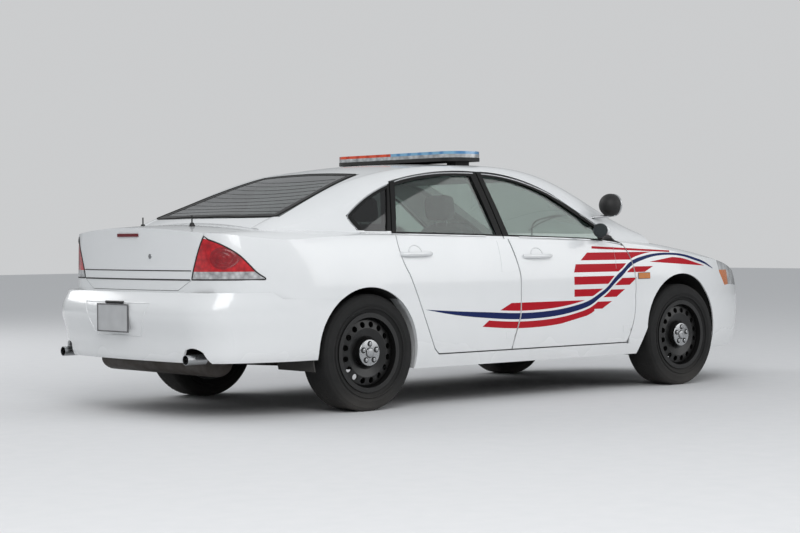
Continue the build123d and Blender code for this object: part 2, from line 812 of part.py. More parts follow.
floor_profile = outline(
    (1240.0, bulkhead_top),
    ((bulkhead_x, bulkhead_top),),
    ((bulkhead_x, floor_z + sheet),),
    ((floor_rear_x, floor_z + sheet),),
    ((floor_rear_x, boot_floor_z + sheet),),
    ((rear_panel_x + sheet, boot_floor_z + sheet),),
    ((rear_panel_x + sheet, 700.0),),
    ((rear_panel_x, 700.0),),
    ((rear_panel_x, boot_floor_z),),
    ((floor_rear_x - sheet, boot_floor_z),),
    ((floor_rear_x - sheet, floor_z),),
    ((bulkhead_x + sheet, floor_z),),
    ((bulkhead_x + sheet, bulkhead_top - sheet),),
    ((1240.0, bulkhead_top - sheet),),
)
floor_zone = plan_prism(plan_section(0, 2440.0, 2432.0, 905.0, inset=30.0), 200, 1000)
house_zone = plan_prism(plan_section(0, 2440.0, 2400.0, 905.0, inset=20.0), floor_z, 900)

with BuildPart() as wheel_house_room:
    join(cross_rod(front_arch_x, front_house_z, front_house_radius, front_house_inner_y, 1100))
    join(cross_rod(rear_arch_x, rear_arch_z, rear_house_radius, rear_house_inner_y, 1100))

with BuildPart() as wheel_houses:
    join(cross_rod(front_arch_x, front_house_z, front_house_radius + house_wall, front_house_inner_y - house_wall, 1100))
    join(cross_rod(rear_arch_x, rear_arch_z, rear_house_radius + house_wall, rear_house_inner_y - house_wall, 1100))
    cut(wheel_house_room.part)
    keep(house_zone)
    cut(block((-1138.5, 0), (792, 1100), (200, 1000)))
    cut(block((front_axle_x - 130, front_axle_x + 130), (400, 560), (200, 520)))
    cut(block((rear_axle_x - 130, rear_axle_x + 130), (400, 620), (200, 480)))

with BuildPart() as underbody:
    join(side_prism(floor_profile, -floor_half_width, floor_half_width))
    keep(floor_zone)
    cut(block((1000, 1300), (680, 900), (880, 1000)), block((1000, 1300), (-900, -680), (880, 1000)))
    for side in (1, -1):
        y_range = tuple(sorted((side * (rear_house_inner_y - house_wall - seat_gap), side * 1000)))
        cut(block((-1790, floor_rear_x + sheet), y_range, (200, 1000)))
    join(block((floor_rear_x - 6, bulkhead_x + 6), (-tunnel_half, tunnel_half), (floor_z, floor_z + 120)))
    cut(block((floor_rear_x - 30, bulkhead_x + 30), (12 - tunnel_half, tunnel_half - 12), (floor_z - 1, floor_z + 108)))
    for side in (1, -1):
        join(block((bulkhead_x + 4, 2345), tuple(sorted((side * (rail_y - 40), side * (rail_y + 40)))), (400, 500)))
    join(block((2335, 2355), (-490, 490), (300, 560)))
with BuildPart() as underbody_all:
    join(underbody.part)
    join(wheel_houses.part, wheel_houses.part.mirror(Plane.XZ))
    for side in (1, -1):
        join(block((hood_pin_x - 14, hood_pin_x + 14), tuple(sorted((side * 650, side * 662))), (914, 960)))
    cut(cross_rod(hood_pin_x, hood_pin_z, 6 + seat_gap, -700, 700))
underbody_all.part.label = "underbody"
export_step(underbody_all.part, "parts/underbody.step")

# Engine and gearbox as one block, with the drive shafts to the front hubs
with BuildPart() as engine:
    join(block((1180, 1720), (-330, 330), (262, 760)))
    for side in (1, -1):
        near, far = sorted((side * 325, side * 640))
        join(cross_rod(front_axle_x, tyre_radius, 18, near, far))
    for side in (1, -1):
        join(block((1250, 1290), tuple(sorted((side * 320, side * (rail_y - 40 - seat_gap)))), (420, 480)))
engine.part.label = "engine"
export_step(engine.part, "parts/engine.step")

with BuildPart() as front_subframe:
    join(block((1250, 1640), (-380, 380), (205, 245)))
    for side in (1, -1):
        join(block((front_axle_x - 40, front_axle_x + 40), tuple(sorted((side * 370, side * 785))), (188, 211)))
        join(block((1560, 1640), tuple(sorted((side * 370, side * 460))), (215, 245)))
        join(block((1560, 1640), tuple(sorted((side * 410, side * 460))), (240, 400 - seat_gap)))
front_subframe.part.label = "front_subframe"
export_step(front_subframe.part, "parts/front_subframe.step")

# Front struts and hub carriers, which turn about a leaning axis
kingpin_slope = (kingpin_high_y - kingpin_low_y) / (kingpin_high_z - kingpin_low_z)


def kingpin_y(height):
    """How far out the steering axis lies at one height."""
    return kingpin_low_y + kingpin_slope * (height - kingpin_low_z)


def kingpin_rod(low, high, radius):
    """A round bar on the left steering axis between two heights."""
    lean = Vector(0, kingpin_slope, 1).normalized()
    with BuildPart() as rod:
        with BuildSketch(Plane(origin=(front_axle_x, kingpin_y(low), low), x_dir=(1, 0, 0), z_dir=lean)):
            Circle(radius)
        extrude(amount=(high - low) * hypot(kingpin_slope, 1))
    return rod.part


def strut_rod(low, high, radius):
    """A round bar on the line of the left strut, which lies inboard of the wheel's rim."""
    slope = -0.1444
    foot_y = 665.0 + slope * (low - 440.0)
    with BuildPart() as rod:
        with BuildSketch(Plane(origin=(front_axle_x, foot_y, low), x_dir=(1, 0, 0), z_dir=Vector(0, slope, 1).normalized())):
            Circle(radius)
        extrude(amount=(high - low) * hypot(slope, 1))
    return rod.part


with BuildPart() as knuckle:
    join(kingpin_rod(217, 300, 22))
    join(strut_rod(420, 790, 14))
    join(strut_rod(700, 778, 55))
    join(block((front_axle_x - 35, front_axle_x + 35), (700, 800), (250, 440)))
    join(block((front_axle_x - 30, front_axle_x + 30), (646, 705), (390, 460)))
    join(cross_rod(front_axle_x, tyre_radius, 70, 790, hub_face_front))
    cut(cross_rod(front_axle_x, tyre_radius, 26, 500, 720))
    join(block((front_axle_x - 140, front_axle_x - 30), (700, 725), (280, 300)))
write_sides(knuckle.part, "knuckle")

with BuildPart() as rear_axle:
    join(block((rear_axle_x - 40, rear_axle_x + 40), (-640, 640), (250, 300)))
    for side in (1, -1):
        near, far = sorted((side * 740, side * hub_face_rear))
        join(block((rear_axle_x - 45, rear_axle_x + 45), tuple(sorted((side * 610, side * 745))), (240, 440)))
        join(cross_rod(rear_axle_x, tyre_radius, 70, near, far))
        with BuildSketch(Plane.XY.offset(290)):
            with Locations((rear_arch_x, side * 615)):
                Circle(24)
        extrude(amount=rear_arch_z + rear_house_radius - 290 - 1.1)
rear_axle.part.label = "rear_axle"
export_step(rear_axle.part, "parts/rear_axle.step")

# Exhaust: pipe in the tunnel, silencer across the tail and two tailpipes
with BuildPart() as exhaust:
    join(block((-985, 1150), (-25, 25), (262, 312)))
    join(block((-2100, -975), (-25, 25), (198, 246)))
    join(block((-1010, -960), (-25, 25), (198, 312)))
    join(block((-2300, -2080), (-660, 660), (215, boot_floor_z - seat_gap)))
    for side in (1, -1):
        near, far = sorted((side * 610, side * 656))
        join(block((-2490, -2290), (near, far), (318, 364)))
exhaust.part.label = "exhaust"
export_step(exhaust.part, "parts/exhaust.step")

# Wheels and tyres, turned about the axle
wheels = (
    ("front", front_axle_x, front_wheel_y),
    ("rear", rear_axle_x, rear_wheel_y),
)
half_rim = rim_width / 2
for word, x, y in wheels:
    with BuildPart() as wheel:
        with BuildSketch(Plane(origin=(x, y, tyre_radius), x_dir=(1, 0, 0), z_dir=(0, 0, 1))):
            with BuildLine():
                Polyline(
                    (0, wheel_offset), (80, wheel_offset), (104, wheel_offset + 14), (142, wheel_offset + 26),
                    (187, wheel_offset + 14), (196, wheel_offset - 8), (196, -20), (206, -34), (206, -half_rim),
                    (rim_flange_radius, -half_rim), (rim_flange_radius, 8 - half_rim), (rim_radius, 8 - half_rim),
                    (rim_radius, -34), (204, -20), (204, 40), (rim_radius, 56), (rim_radius, half_rim - 8),
                    (rim_flange_radius, half_rim - 8), (rim_flange_radius, half_rim), (206, half_rim),
                    (206, wheel_offset + 16), (190, wheel_offset + 26), (144, wheel_offset + 36), (98, wheel_offset + 24),
                    (centre_cap_radius, wheel_offset + 12), (centre_cap_radius - 4, wheel_offset + 40),
                    (30, wheel_offset + 50), (0, wheel_offset + 50), close=True,
                )
            make_face()
        revolve(axis=Axis((x, y, tyre_radius), (0, 1, 0)))
        with BuildSketch(Plane(origin=(x, y + 200, tyre_radius), x_dir=(1, 0, 0), z_dir=(0, -1, 0))):
            with PolarLocations(hand_hole_circle, hand_hole_count, start_angle=180 / hand_hole_count):
                Circle(hand_hole_radius)
        extrude(amount=180, mode=Mode.SUBTRACT)
    write_sides(wheel.part, "wheel_" + word)
    with BuildPart() as tyre:
        with BuildSketch(Plane(origin=(x, y, tyre_radius), x_dir=(1, 0, 0), z_dir=(0, 0, 1))):
            with BuildLine():
                Polyline(
                    (rim_radius + seat_gap, -94), (236, -98), (285, -tyre_width / 2), (322, -112), (338, -98),
                    (tyre_radius, -84), (tyre_radius, 84), (338, 98), (322, 112), (285, tyre_width / 2), (236, 98),
                    (rim_radius + seat_gap, 94), (rim_radius + seat_gap, 80), (250, 92), (300, 102), (328, 80),
                    (328, -80), (300, -102), (250, -92), (rim_radius + seat_gap, -80), close=True,
                )
            make_face()
        revolve(axis=Axis((x, y, tyre_radius), (0, 1, 0)))
    write_sides(tyre.part, "tyre_" + word)

# Dashboard, seats and steering wheel
dashboard_outline = outline(
    (700.0, 700.0), ((690.0, 860.0),), ((760.0, 950.0),), ((980.0, 905.0),), ((bulkhead_x - seat_gap, 560.0),), ((800.0, 560.0),)
)
with BuildPart() as dashboard:
    join(side_prism(dashboard_outline, -780, 780))
    with BuildSketch(Plane(origin=(590, 370, 850), x_dir=(0, 1, 0), z_dir=(cos(radians(25)), 0, -sin(radians(25))))):
        Circle(24 + seat_gap)
    extrude(amount=240, mode=Mode.SUBTRACT)
dashboard.part.label = "dashboard"
export_step(dashboard.part, "parts/dashboard.step")

seat_y = 370.0
seat_half = 245.0
seat_outline = outline(
    (300.0, floor_z + sheet + seat_gap), ((330.0, 540.0),), ((-140.0, 500.0),), ((-290.0, 1130.0),), ((-410.0, 1120.0),),
    ((-270.0, 430.0),), ((-200.0, floor_z + sheet + seat_gap),)
)
with BuildPart() as front_seat:
    join(side_prism(seat_outline, seat_y - seat_half, seat_y + seat_half))
    join(block((-390, -290), (seat_y - 120, seat_y + 120), (1110, 1290)))
write_pair(front_seat.part, "front_seats")

rear_seat_outline = outline(
    (-480.0, floor_z + sheet + seat_gap), ((-470.0, 520.0),), ((-900.0, 480.0),), ((-1060.0, 1040.0),), ((-1180.0, 1040.0),),
    ((floor_rear_x + 4, 700.0),), ((floor_rear_x + 4, floor_z + sheet + seat_gap),)
)
with BuildPart() as rear_seat:
    join(side_prism(rear_seat_outline, -590, 590))
    cut(block((-2000, 0), (-tunnel_half - 1, tunnel_half + 1), (200, floor_z + 121)))
rear_seat.part.label = "rear_seat"
export_step(rear_seat.part, "parts/rear_seat.step")

steering_x, steering_y, steering_z = 590.0, 370.0, 850.0
with BuildPart() as steering_wheel:
    with BuildSketch(
        Plane(origin=(steering_x, steering_y, steering_z), x_dir=(0, 1, 0), z_dir=(cos(radians(25)), 0, -sin(radians(25))))
    ):
        Circle(190)
        Circle(166, mode=Mode.SUBTRACT)
        Rectangle(350, 60)
        Circle(62)
    extrude(amount=24)
    with BuildSketch(
        Plane(origin=(steering_x, steering_y, steering_z), x_dir=(0, 1, 0), z_dir=(cos(radians(25)), 0, -sin(radians(25))))
    ):
        Circle(24)
    extrude(amount=150)
steering_wheel.part.label = "steering_wheel"
export_step(steering_wheel.part, "parts/steering_wheel.step")

# Light bar, spotlights and mirrors
bar_x = -250.0
bar_z = 1497.0
with BuildPart() as light_bar:
    with BuildSketch(Plane.XY.offset(bar_z)):
        with Locations((bar_x, 0)):
            RectangleRounded(300, 1200, 128)
    extrude(amount=22)
    for side in (1, -1):
        join(block((bar_x - 60, bar_x + 60), tuple(sorted((side * 440, side * 520))), (1440, bar_z + 1)))
    cut(outer_form.part)
light_bar.part.label = "light_bar"
export_step(light_bar.part, "parts/light_bar.step")

with BuildPart() as light_bar_lenses:
    with BuildSketch(Plane.XY.offset(bar_z + 22)):
        with Locations((bar_x, 0)):
            RectangleRounded(296, 1196, 126)
    extrude(amount=40)
    cut(block((-1000, 1000), (-0.5, 0.5), (1500, 1600)))
light_bar_lenses.part.label = "light_bar_lenses"
export_step(light_bar_lenses.part, "parts/light_bar_lenses.step")

spot_x, spot_y, spot_z = 778.0, 860.0, 1220.0
spot_radius = 75.0
with BuildPart() as spotlight:
    with BuildSketch(Plane(origin=(spot_x, spot_y, spot_z), x_dir=(0, 1, 0), z_dir=(-1, 0, 0)).offset(-40)):
        Circle(spot_radius)
    extrude(amount=80)
    with BuildSketch(Plane(origin=(640, 760, 1125), x_dir=(0, 0, 1), z_dir=(138, 100, 60))):
        Circle(12)
    extrude(amount=150)
    cut(outer_form.part)
write_pair(max(spotlight.part.solids(), key=lambda piece: piece.volume), "spotlights")

with BuildPart() as mirror_part:
    join(block((526, 640), (905, 1060), (995, 1112)))
    join(block((560, 800), (840, 910), (1008, 1050)))
    cut(outer_form.part)
write_sides(mirror_part.part, "mirror")
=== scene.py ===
import math

import bpy
from mathutils import Matrix, Vector
from mathutils.bvhtree import BVHTree


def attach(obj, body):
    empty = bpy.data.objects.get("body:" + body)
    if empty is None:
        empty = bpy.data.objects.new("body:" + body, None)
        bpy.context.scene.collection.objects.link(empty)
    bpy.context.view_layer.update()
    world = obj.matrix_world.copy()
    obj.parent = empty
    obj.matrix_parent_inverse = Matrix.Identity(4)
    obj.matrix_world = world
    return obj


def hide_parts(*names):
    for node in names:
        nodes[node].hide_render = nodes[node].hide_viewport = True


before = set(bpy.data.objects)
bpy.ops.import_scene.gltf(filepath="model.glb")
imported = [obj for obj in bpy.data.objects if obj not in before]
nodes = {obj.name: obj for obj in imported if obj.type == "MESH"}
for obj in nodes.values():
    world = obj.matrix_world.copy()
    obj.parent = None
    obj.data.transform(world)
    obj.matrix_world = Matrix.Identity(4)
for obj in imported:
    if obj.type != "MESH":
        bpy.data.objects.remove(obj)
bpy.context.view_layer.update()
bpy.ops.object.select_all(action="DESELECT")
scene = bpy.context.scene
SIDES = (("left", 1), ("right", -1))

# Floor, backdrop light and camera
# The car stands on a plain pale floor in soft studio light. The camera has the photograph's place
# and lens: low, behind the car's right rear corner.
bpy.ops.mesh.primitive_plane_add(size=80, location=(0, 0, 0))
floor = bpy.context.object
floor.name = "studio_floor"


def node_material(name):
    """A new material with its node tree, its Principled shader and a maker for more nodes."""
    made = bpy.data.materials.new(name)
    made.use_nodes = True
    tree = made.node_tree
    return made, tree, tree.nodes["Principled BSDF"]


def add_node(tree, kind, **sockets):
    """A node of one kind, with the named inputs set to values or linked to other sockets."""
    node = tree.nodes.new(kind)
    for name, value in sockets.items():
        fill(tree, node.inputs[name.replace("_", " ")], value)
    return node


def fill(tree, socket, value):
    """Set an input to a value, or link it where the value is another node's output."""
    if isinstance(value, bpy.types.NodeSocket):
        tree.links.new(value, socket)
    else:
        socket.default_value = value


def math_node(tree, operation, first, second=0.0, clamp=False):
    """One arithmetic step; returns its output."""
    node = tree.nodes.new("ShaderNodeMath")
    node.operation = operation
    node.use_clamp = clamp
    fill(tree, node.inputs[0], first)
    fill(tree, node.inputs[1], second)
    return node.outputs[0]


def mix_colour(tree, factor, first, second):
    """Two colours mixed; returns the output."""
    node = tree.nodes.new("ShaderNodeMix")
    node.data_type = "RGBA"
    fill(tree, node.inputs[0], factor)
    fill(tree, node.inputs[6], first)
    fill(tree, node.inputs[7], second)
    return node.outputs[2]


def mix_value(tree, factor, first, second):
    """Two numbers mixed; returns the output."""
    node = tree.nodes.new("ShaderNodeMix")
    fill(tree, node.inputs[0], factor)
    fill(tree, node.inputs[2], first)
    fill(tree, node.inputs[3], second)
    return node.outputs[0]


def object_place(tree):
    """The place on a piece, in its own coordinates."""
    return tree.nodes.new("ShaderNodeTexCoord").outputs["Object"]


def axes(tree, vector):
    """The three parts of a vector."""
    node = add_node(tree, "ShaderNodeSeparateXYZ", Vector=vector)
    return node.outputs["X"], node.outputs["Y"], node.outputs["Z"]


floor_finish, tree, shader = node_material("studio_floor")
grain = add_node(tree, "ShaderNodeTexNoise", Vector=object_place(tree), Scale=9.0, Detail=5.0)
floor_colour = mix_colour(tree, grain.outputs[0], (0.66, 0.67, 0.68, 1), (0.72, 0.72, 0.73, 1))
fill(tree, shader.inputs["Base Color"], floor_colour)
shader.inputs["Roughness"].default_value = 0.8
floor.data.materials.append(floor_finish)

world = bpy.data.worlds.new("studio")
scene.world = world
world.use_nodes = True
tree = world.node_tree
backdrop = tree.nodes["Background"]
path = tree.nodes.new("ShaderNodeLightPath")
seen = math_node(tree, "MAXIMUM", path.outputs["Is Camera Ray"], path.outputs["Is Transmission Ray"])
sky = tree.nodes.new("ShaderNodeTexCoord")
height = math_node(tree, "MULTIPLY_ADD", axes(tree, sky.outputs["Generated"])[2], 1.4, clamp=True)
height.node.inputs[2].default_value = 0.25
room = mix_colour(tree, height, (0.09, 0.095, 0.10, 1), (0.78, 0.80, 0.82, 1))
fill(tree, backdrop.inputs["Color"], mix_colour(tree, seen, room, (0.80, 0.81, 0.82, 1)))
backdrop.inputs["Strength"].default_value = 0.75

for name, place, aim, size, power in (
    ("key", (-7.0, -8.0, 6.5), (-0.5, 0, 0.6), 6.0, 520),
    ("fill", (7.0, -9.0, 4.5), (0.5, 0, 0.6), 7.0, 260),
    ("back", (-3.0, 9.0, 6.0), (0, 0, 0.8), 6.0, 300),
):
    bpy.ops.object.light_add(type="AREA", location=place)
    lamp = bpy.context.object
    lamp.name = name
    lamp.data.size = size
    lamp.data.energy = power
    lamp.rotation_euler = (Vector(aim) - Vector(place)).to_track_quat("-Z", "Y").to_euler()

bpy.ops.object.camera_add(location=(-8.5845, -9.2094, 1.0095))
camera = bpy.context.object
camera.data.lens = 85.0
camera.data.sensor_width = 36.0
camera_yaw, camera_pitch, camera_roll = 0.7313, -0.0149, -0.0061
camera.rotation_euler = (
    Matrix.Rotation(-camera_yaw, 3, "Z")
    @ Matrix.Rotation(math.pi / 2 + camera_pitch, 3, "X")
    @ Matrix.Rotation(camera_roll, 3, "Z")
).to_euler()
scene.camera = camera
scene.view_settings.view_transform = "Standard"


# White paint with the stripes along both sides
# The panels are pressed steel, primed and painted gloss white. The navy ribbon and the red bars are
# cut from coloured film and lie on the doors and fenders. Road dirt gathers low on the panels.
def noise_bump(tree, vector, scale, strength, distance=0.001, detail=3.0):
    """A fine uneven surface; returns the normal."""
    noise = add_node(tree, "ShaderNodeTexNoise", Vector=vector, Scale=scale, Detail=detail)
    bump = add_node(tree, "ShaderNodeBump", Height=noise.outputs[0], Strength=strength, Distance=distance)
    return bump.outputs[0]


def node_group(name, inputs, outputs):
    """A new node group with its sockets; returns it with the nodes at its entry and its exit."""
    group = bpy.data.node_groups.new(name, "ShaderNodeTree")
    for socket, kind in inputs:
        group.interface.new_socket(socket, in_out="INPUT", socket_type=f"NodeSocket{kind}")
    for socket in outputs:
        group.interface.new_socket(socket, in_out="OUTPUT", socket_type="NodeSocketFloat")
    return group, group.nodes.new("NodeGroupInput"), group.nodes.new("NodeGroupOutput")


def road_dirt_group():
    """A node group: how much road dirt lies at a height, broken up by noise."""
    group, entry, leave = node_group("road_dirt", (("Vector", "Vector"), ("Height", "Float")), ("Dirt",))
    z = axes(group, entry.outputs["Vector"])[2]
    share = math_node(group, "DIVIDE", z, entry.outputs["Height"])
    low = math_node(group, "SUBTRACT", 1.0, share, clamp=True)
    speckle = add_node(group, "ShaderNodeTexNoise", Vector=entry.outputs["Vector"], Scale=3.5, Detail=2.0)
    soft = math_node(group, "POWER", low, 1.6)
    group.links.new(math_node(group, "MULTIPLY", soft, speckle.outputs[0], clamp=True), leave.inputs[0])
    return group


road_dirt = road_dirt_group()


def dirt_node(tree, vector, height):
    """The road dirt group placed in a material; returns its mask."""
    node = tree.nodes.new("ShaderNodeGroup")
    node.node_tree = road_dirt
    tree.links.new(vector, node.inputs["Vector"])
    node.inputs["Height"].default_value = height
    return node.outputs["Dirt"]


# The ribbon's two edges, as places along the car and heights in metres; each is a smooth curve
ribbon_start, ribbon_end = -0.97, 1.82
film_low, film_high = 0.45, 0.95
ribbon_upper = (
    (-0.95, 0.583), (-0.49, 0.555), (0.00, 0.539), (0.39, 0.576), (0.60, 0.647),
    (0.80, 0.780), (1.01, 0.876), (1.31, 0.902), (1.61, 0.862), (1.81, 0.796),
)
ribbon_lower = (
    (-0.95, 0.583), (-0.49, 0.521), (0.00, 0.500), (0.41, 0.543), (0.61, 0.622),
    (0.80, 0.744), (1.01, 0.851), (1.30, 0.887), (1.61, 0.843), (1.81, 0.789),
)
film_gap = 0.014

# Red bars over the ribbon: bottom, top, rear end at the bottom, and how far the end leans forward
# for each metre of height
rear_bars = (
    (0.550, 0.603, -0.340, 2.26),
    (0.627, 0.674, 0.352, 0.0),
    (0.704, 0.756, 0.352, 0.0),
    (0.783, 0.836, 0.352, 0.4),
    (0.860, 0.910, 0.425, 1.45),
)
# Red bars under the ribbon: bottom, top, front end at the bottom, and its lean
front_bars = (
    (0.543, 0.590, 0.621, 2.0),
    (0.617, 0.666, 0.758, 1.7),
    (0.693, 0.740, 0.887, 1.6),
    (0.776, 0.814, 1.041, 2.4),
)
front_bar_length = 0.26
rear_bars_end, low_bar_end, top_bar_end, fender_bar_end = 1.20, 0.545, 1.32, 1.72
low_bar_depth = 0.056
film_least_y = 0.70
film_least_facing = 0.15


def over_line(tree, x, z, at, up, slope):
    """How far a place lies over a straight line through (at, up)."""
    level = math_node(tree, "MULTIPLY", math_node(tree, "SUBTRACT", x, at), slope)
    return math_node(tree, "SUBTRACT", z, math_node(tree, "ADD", level, up))


def side_film_group():
    """A node group: where the navy and the red film lie on the car's sides."""
    sockets = (("Vector", "Vector"), ("Normal", "Vector"))
    group, entry, leave = node_group("side_film", sockets, ("Navy", "Red"))

    def calc(operation, first, second=0.0):
        """One arithmetic step in this group."""
        return math_node(group, operation, first, second)

    x, y, z = axes(group, entry.outputs["Vector"])
    outwards = calc("MULTIPLY", y, axes(group, entry.outputs["Normal"])[1])
    outer = calc("GREATER_THAN", outwards, film_least_facing)
    flank = calc("GREATER_THAN", calc("ABSOLUTE", y), film_least_y)
    flank = calc("MULTIPLY", flank, outer)

    def edge_height(points):
        """The height of one of the ribbon's edges over each place along the car."""
        node = group.nodes.new("ShaderNodeFloatCurve")
        curve = node.mapping.curves[0]
        length, rise = ribbon_end - ribbon_start, film_high - film_low
        for i, (at, up) in enumerate(points):
            spot = ((at - ribbon_start) / length, (up - film_low) / rise)
            if i < 2:
                curve.points[i].location = spot
            else:
                curve.points.new(*spot)
        node.mapping.update()
        along = calc("SUBTRACT", x, ribbon_start)
        group.links.new(calc("DIVIDE", along, length), node.inputs["Value"])
        lifted = calc("MULTIPLY", node.outputs[0], rise)
        return calc("ADD", lifted, film_low)

    def ahead(at, up, lean):
        """How far a place lies forward of an end that leans."""
        end = calc("MULTIPLY", calc("SUBTRACT", z, up), lean)
        return calc("SUBTRACT", x, calc("ADD", end, at))

    def negative(value):
        """The value with its sign turned."""
        return calc("MULTIPLY", value, -1.0)

    def between(low, high):
        """Two tests: over the low height, and under the high one."""
        return calc("SUBTRACT", z, low), calc("SUBTRACT", high, z)

    def behind(end):
        """How far a place lies behind an upright end."""
        return calc("SUBTRACT", end, x)

    def inside(*tests):
        """A mask where every test is over nought."""
        least = tests[0]
        for test in tests[1:]:
            least = calc("MINIMUM", least, test)
        return calc("GREATER_THAN", least, 0.0)

    def either(*masks):
        """The masks together, on the outer faces of the car's sides."""
        most = masks[0]
        for mask in masks[1:]:
            most = calc("MAXIMUM", most, mask)
        return calc("MULTIPLY", most, flank)

    over = calc("SUBTRACT", z, edge_height(ribbon_upper))
    under = calc("SUBTRACT", edge_height(ribbon_lower), z)
    past_start = calc("SUBTRACT", x, ribbon_start)
    navy = inside(negative(over), negative(under), past_start, behind(ribbon_end))
    clear_over = calc("SUBTRACT", over, film_gap)
    clear_under = calc("SUBTRACT", under, film_gap)
    red = [
        inside(clear_over, ahead(end, low, lean), *between(low, high), behind(rear_bars_end))
        for low, high, end, lean in rear_bars
    ]
    red += [
        inside(
            clear_under, negative(ahead(end, low, lean)), ahead(end - front_bar_length, low, lean),
            *between(low, high))
        for low, high, end, lean in front_bars
    ]
    red += [
        inside(
            clear_under, calc("SUBTRACT", low_bar_depth, under),
            over_line(group, x, z, 0.348, 0.479, 0.18), ahead(-0.470, 0.463, 1.5), behind(low_bar_end)),
        inside(
            over_line(group, x, z, 0.55, 0.935, -0.038),
            negative(over_line(group, x, z, 0.55, 0.952, -0.045)),
            ahead(0.55, 0.935, 0.3), behind(top_bar_end)),
        inside(
            clear_under, negative(over_line(group, x, z, 1.116, 0.845, 0.123)),
            over_line(group, x, z, 1.1, 0.843, -0.058), behind(fender_bar_end)),
    ]
    group.links.new(either(navy), leave.inputs["Navy"])
    group.links.new(either(*red), leave.inputs["Red"])
    return group


side_film = side_film_group()


# The belt under the side windows and the edges of the quarter window's black surround, as lines: a
# place, its height and slope, and for the surround whether it lies over the line (1) or under it (-1)
belt_lines = ((-0.202, 1.015, -0.0213), (-0.202, 1.015, -0.0295), (0.543, 0.993, -0.104))
quarter_end = -1.0
quarter_lines = ((-1.368, 1.038, -1.845, 1.0), (-1.418, 1.150, 0.610, -1.0), (-1.230, 1.266, 0.400, -1.0))
quarter_least_y = 0.56


def body_paint(name, frame_from=None, quarter_only=False):
    """White gloss paint with the side film. With frame_from, it is satin black from that far over the
    belt line, or only round the quarter window."""
    made, tree, shader = node_material(name)
    vector = object_place(tree)
    film = tree.nodes.new("ShaderNodeGroup")
    film.node_tree = side_film
    tree.links.new(vector, film.inputs["Vector"])
    tree.links.new(vector.node.outputs["Normal"], film.inputs["Normal"])
    dirt = dirt_node(tree, vector, 0.62)
    cloud = add_node(tree, "ShaderNodeTexNoise", Vector=vector, Scale=2.4, Detail=4.0)
    colour = mix_colour(tree, cloud.outputs[0], (0.73, 0.75, 0.76, 1), (0.80, 0.81, 0.82, 1))
    colour = mix_colour(tree, film.outputs["Navy"], colour, (0.004, 0.014, 0.090, 1))
    colour = mix_colour(tree, film.outputs["Red"], colour, (0.42, 0.004, 0.014, 1))
    film_on = math_node(tree, "MAXIMUM", film.outputs["Navy"], film.outputs["Red"])
    colour = mix_colour(tree, math_node(tree, "MULTIPLY", dirt, 0.30), colour, (0.30, 0.28, 0.25, 1))
    rough = mix_value(tree, dirt, mix_value(tree, film_on, 0.22, 0.38), 0.6)
    shine = mix_value(tree, film_on, 0.5, 0.12)
    coat = mix_value(tree, film_on, 0.6, 0.03)
    if frame_from is not None:
        x, y, z = axes(tree, vector)
        over = over_line(tree, x, z, belt_lines[0][0], belt_lines[0][1] + frame_from, belt_lines[0][2])
        for at, up, slope in belt_lines[1:]:
            over = math_node(tree, "MAXIMUM", over, over_line(tree, x, z, at, up + frame_from, slope))
        framed = math_node(tree, "GREATER_THAN", over, 0.0)
        if quarter_only:
            masks = [
                math_node(tree, "GREATER_THAN", math_node(tree, "ABSOLUTE", y), quarter_least_y),
                math_node(tree, "LESS_THAN", x, quarter_end),
            ]
            for at, up, slope, sense in quarter_lines:
                within = math_node(tree, "MULTIPLY", over_line(tree, x, z, at, up, slope), sense)
                masks.append(math_node(tree, "GREATER_THAN", within, 0.0))
            for mask in masks:
                framed = math_node(tree, "MULTIPLY", framed, mask)
        colour = mix_colour(tree, framed, colour, (0.010, 0.010, 0.010, 1))
        rough = mix_value(tree, framed, rough, 0.45)
        shine = mix_value(tree, framed, shine, 0.15)
        coat = mix_value(tree, framed, coat, 0.0)
    fill(tree, shader.inputs["Base Color"], colour)
    fill(tree, shader.inputs["Roughness"], rough)
    fill(tree, shader.inputs["Normal"], noise_bump(tree, vector, 260.0, 0.03, 0.0006))
    fill(tree, shader.inputs["Specular IOR Level"], shine)
    fill(tree, shader.inputs["Coat Weight"], coat)
    shader.inputs["Coat Roughness"].default_value = 0.06
    return made


def paint_node(name, finish):
    """Give a frame node one finish."""
    mesh = nodes[name].data
    mesh.materials.clear()
    mesh.materials.append(finish)


panel_white = body_paint("panel_white")
door_white = body_paint("door_white", frame_from=0.004)
side_white = body_paint("side_white", frame_from=0.018, quarter_only=True)
for name in ("roof_panel", "rear_deck", "fenders", "front_bumper", "rear_bumper", "hood", "trunk_lid"):
    paint_node(name, panel_white)
for side, _ in SIDES:
    paint_node(f"body_side_{side}", side_white)
    for end in ("front", "rear"):
        paint_node(f"door_{end}_{side}", door_white)


# Glass
# Tempered side glass with a slight green tint; the rear window and the quarter lights are smoked.
# The spotlights have clear lenses.
def glass_finish(name, colour):
    """Clear or tinted glass."""
    made, tree, shader = node_material(name)
    vector = object_place(tree)
    haze = add_node(tree, "ShaderNodeTexNoise", Vector=vector, Scale=5.0, Detail=5.0)
    darker = tuple(0.94 * c for c in colour[:3]) + (1,)
    fill(tree, shader.inputs["Base Color"], mix_colour(tree, haze.outputs[0], colour, darker))
    shader.inputs["Roughness"].default_value = 0.0
    shader.inputs["Transmission Weight"].default_value = 1.0
    shader.inputs["IOR"].default_value = 1.02
    shader.inputs["Coat Weight"].default_value = 1.0
    shader.inputs["Coat Roughness"].default_value = 0.0
    return made


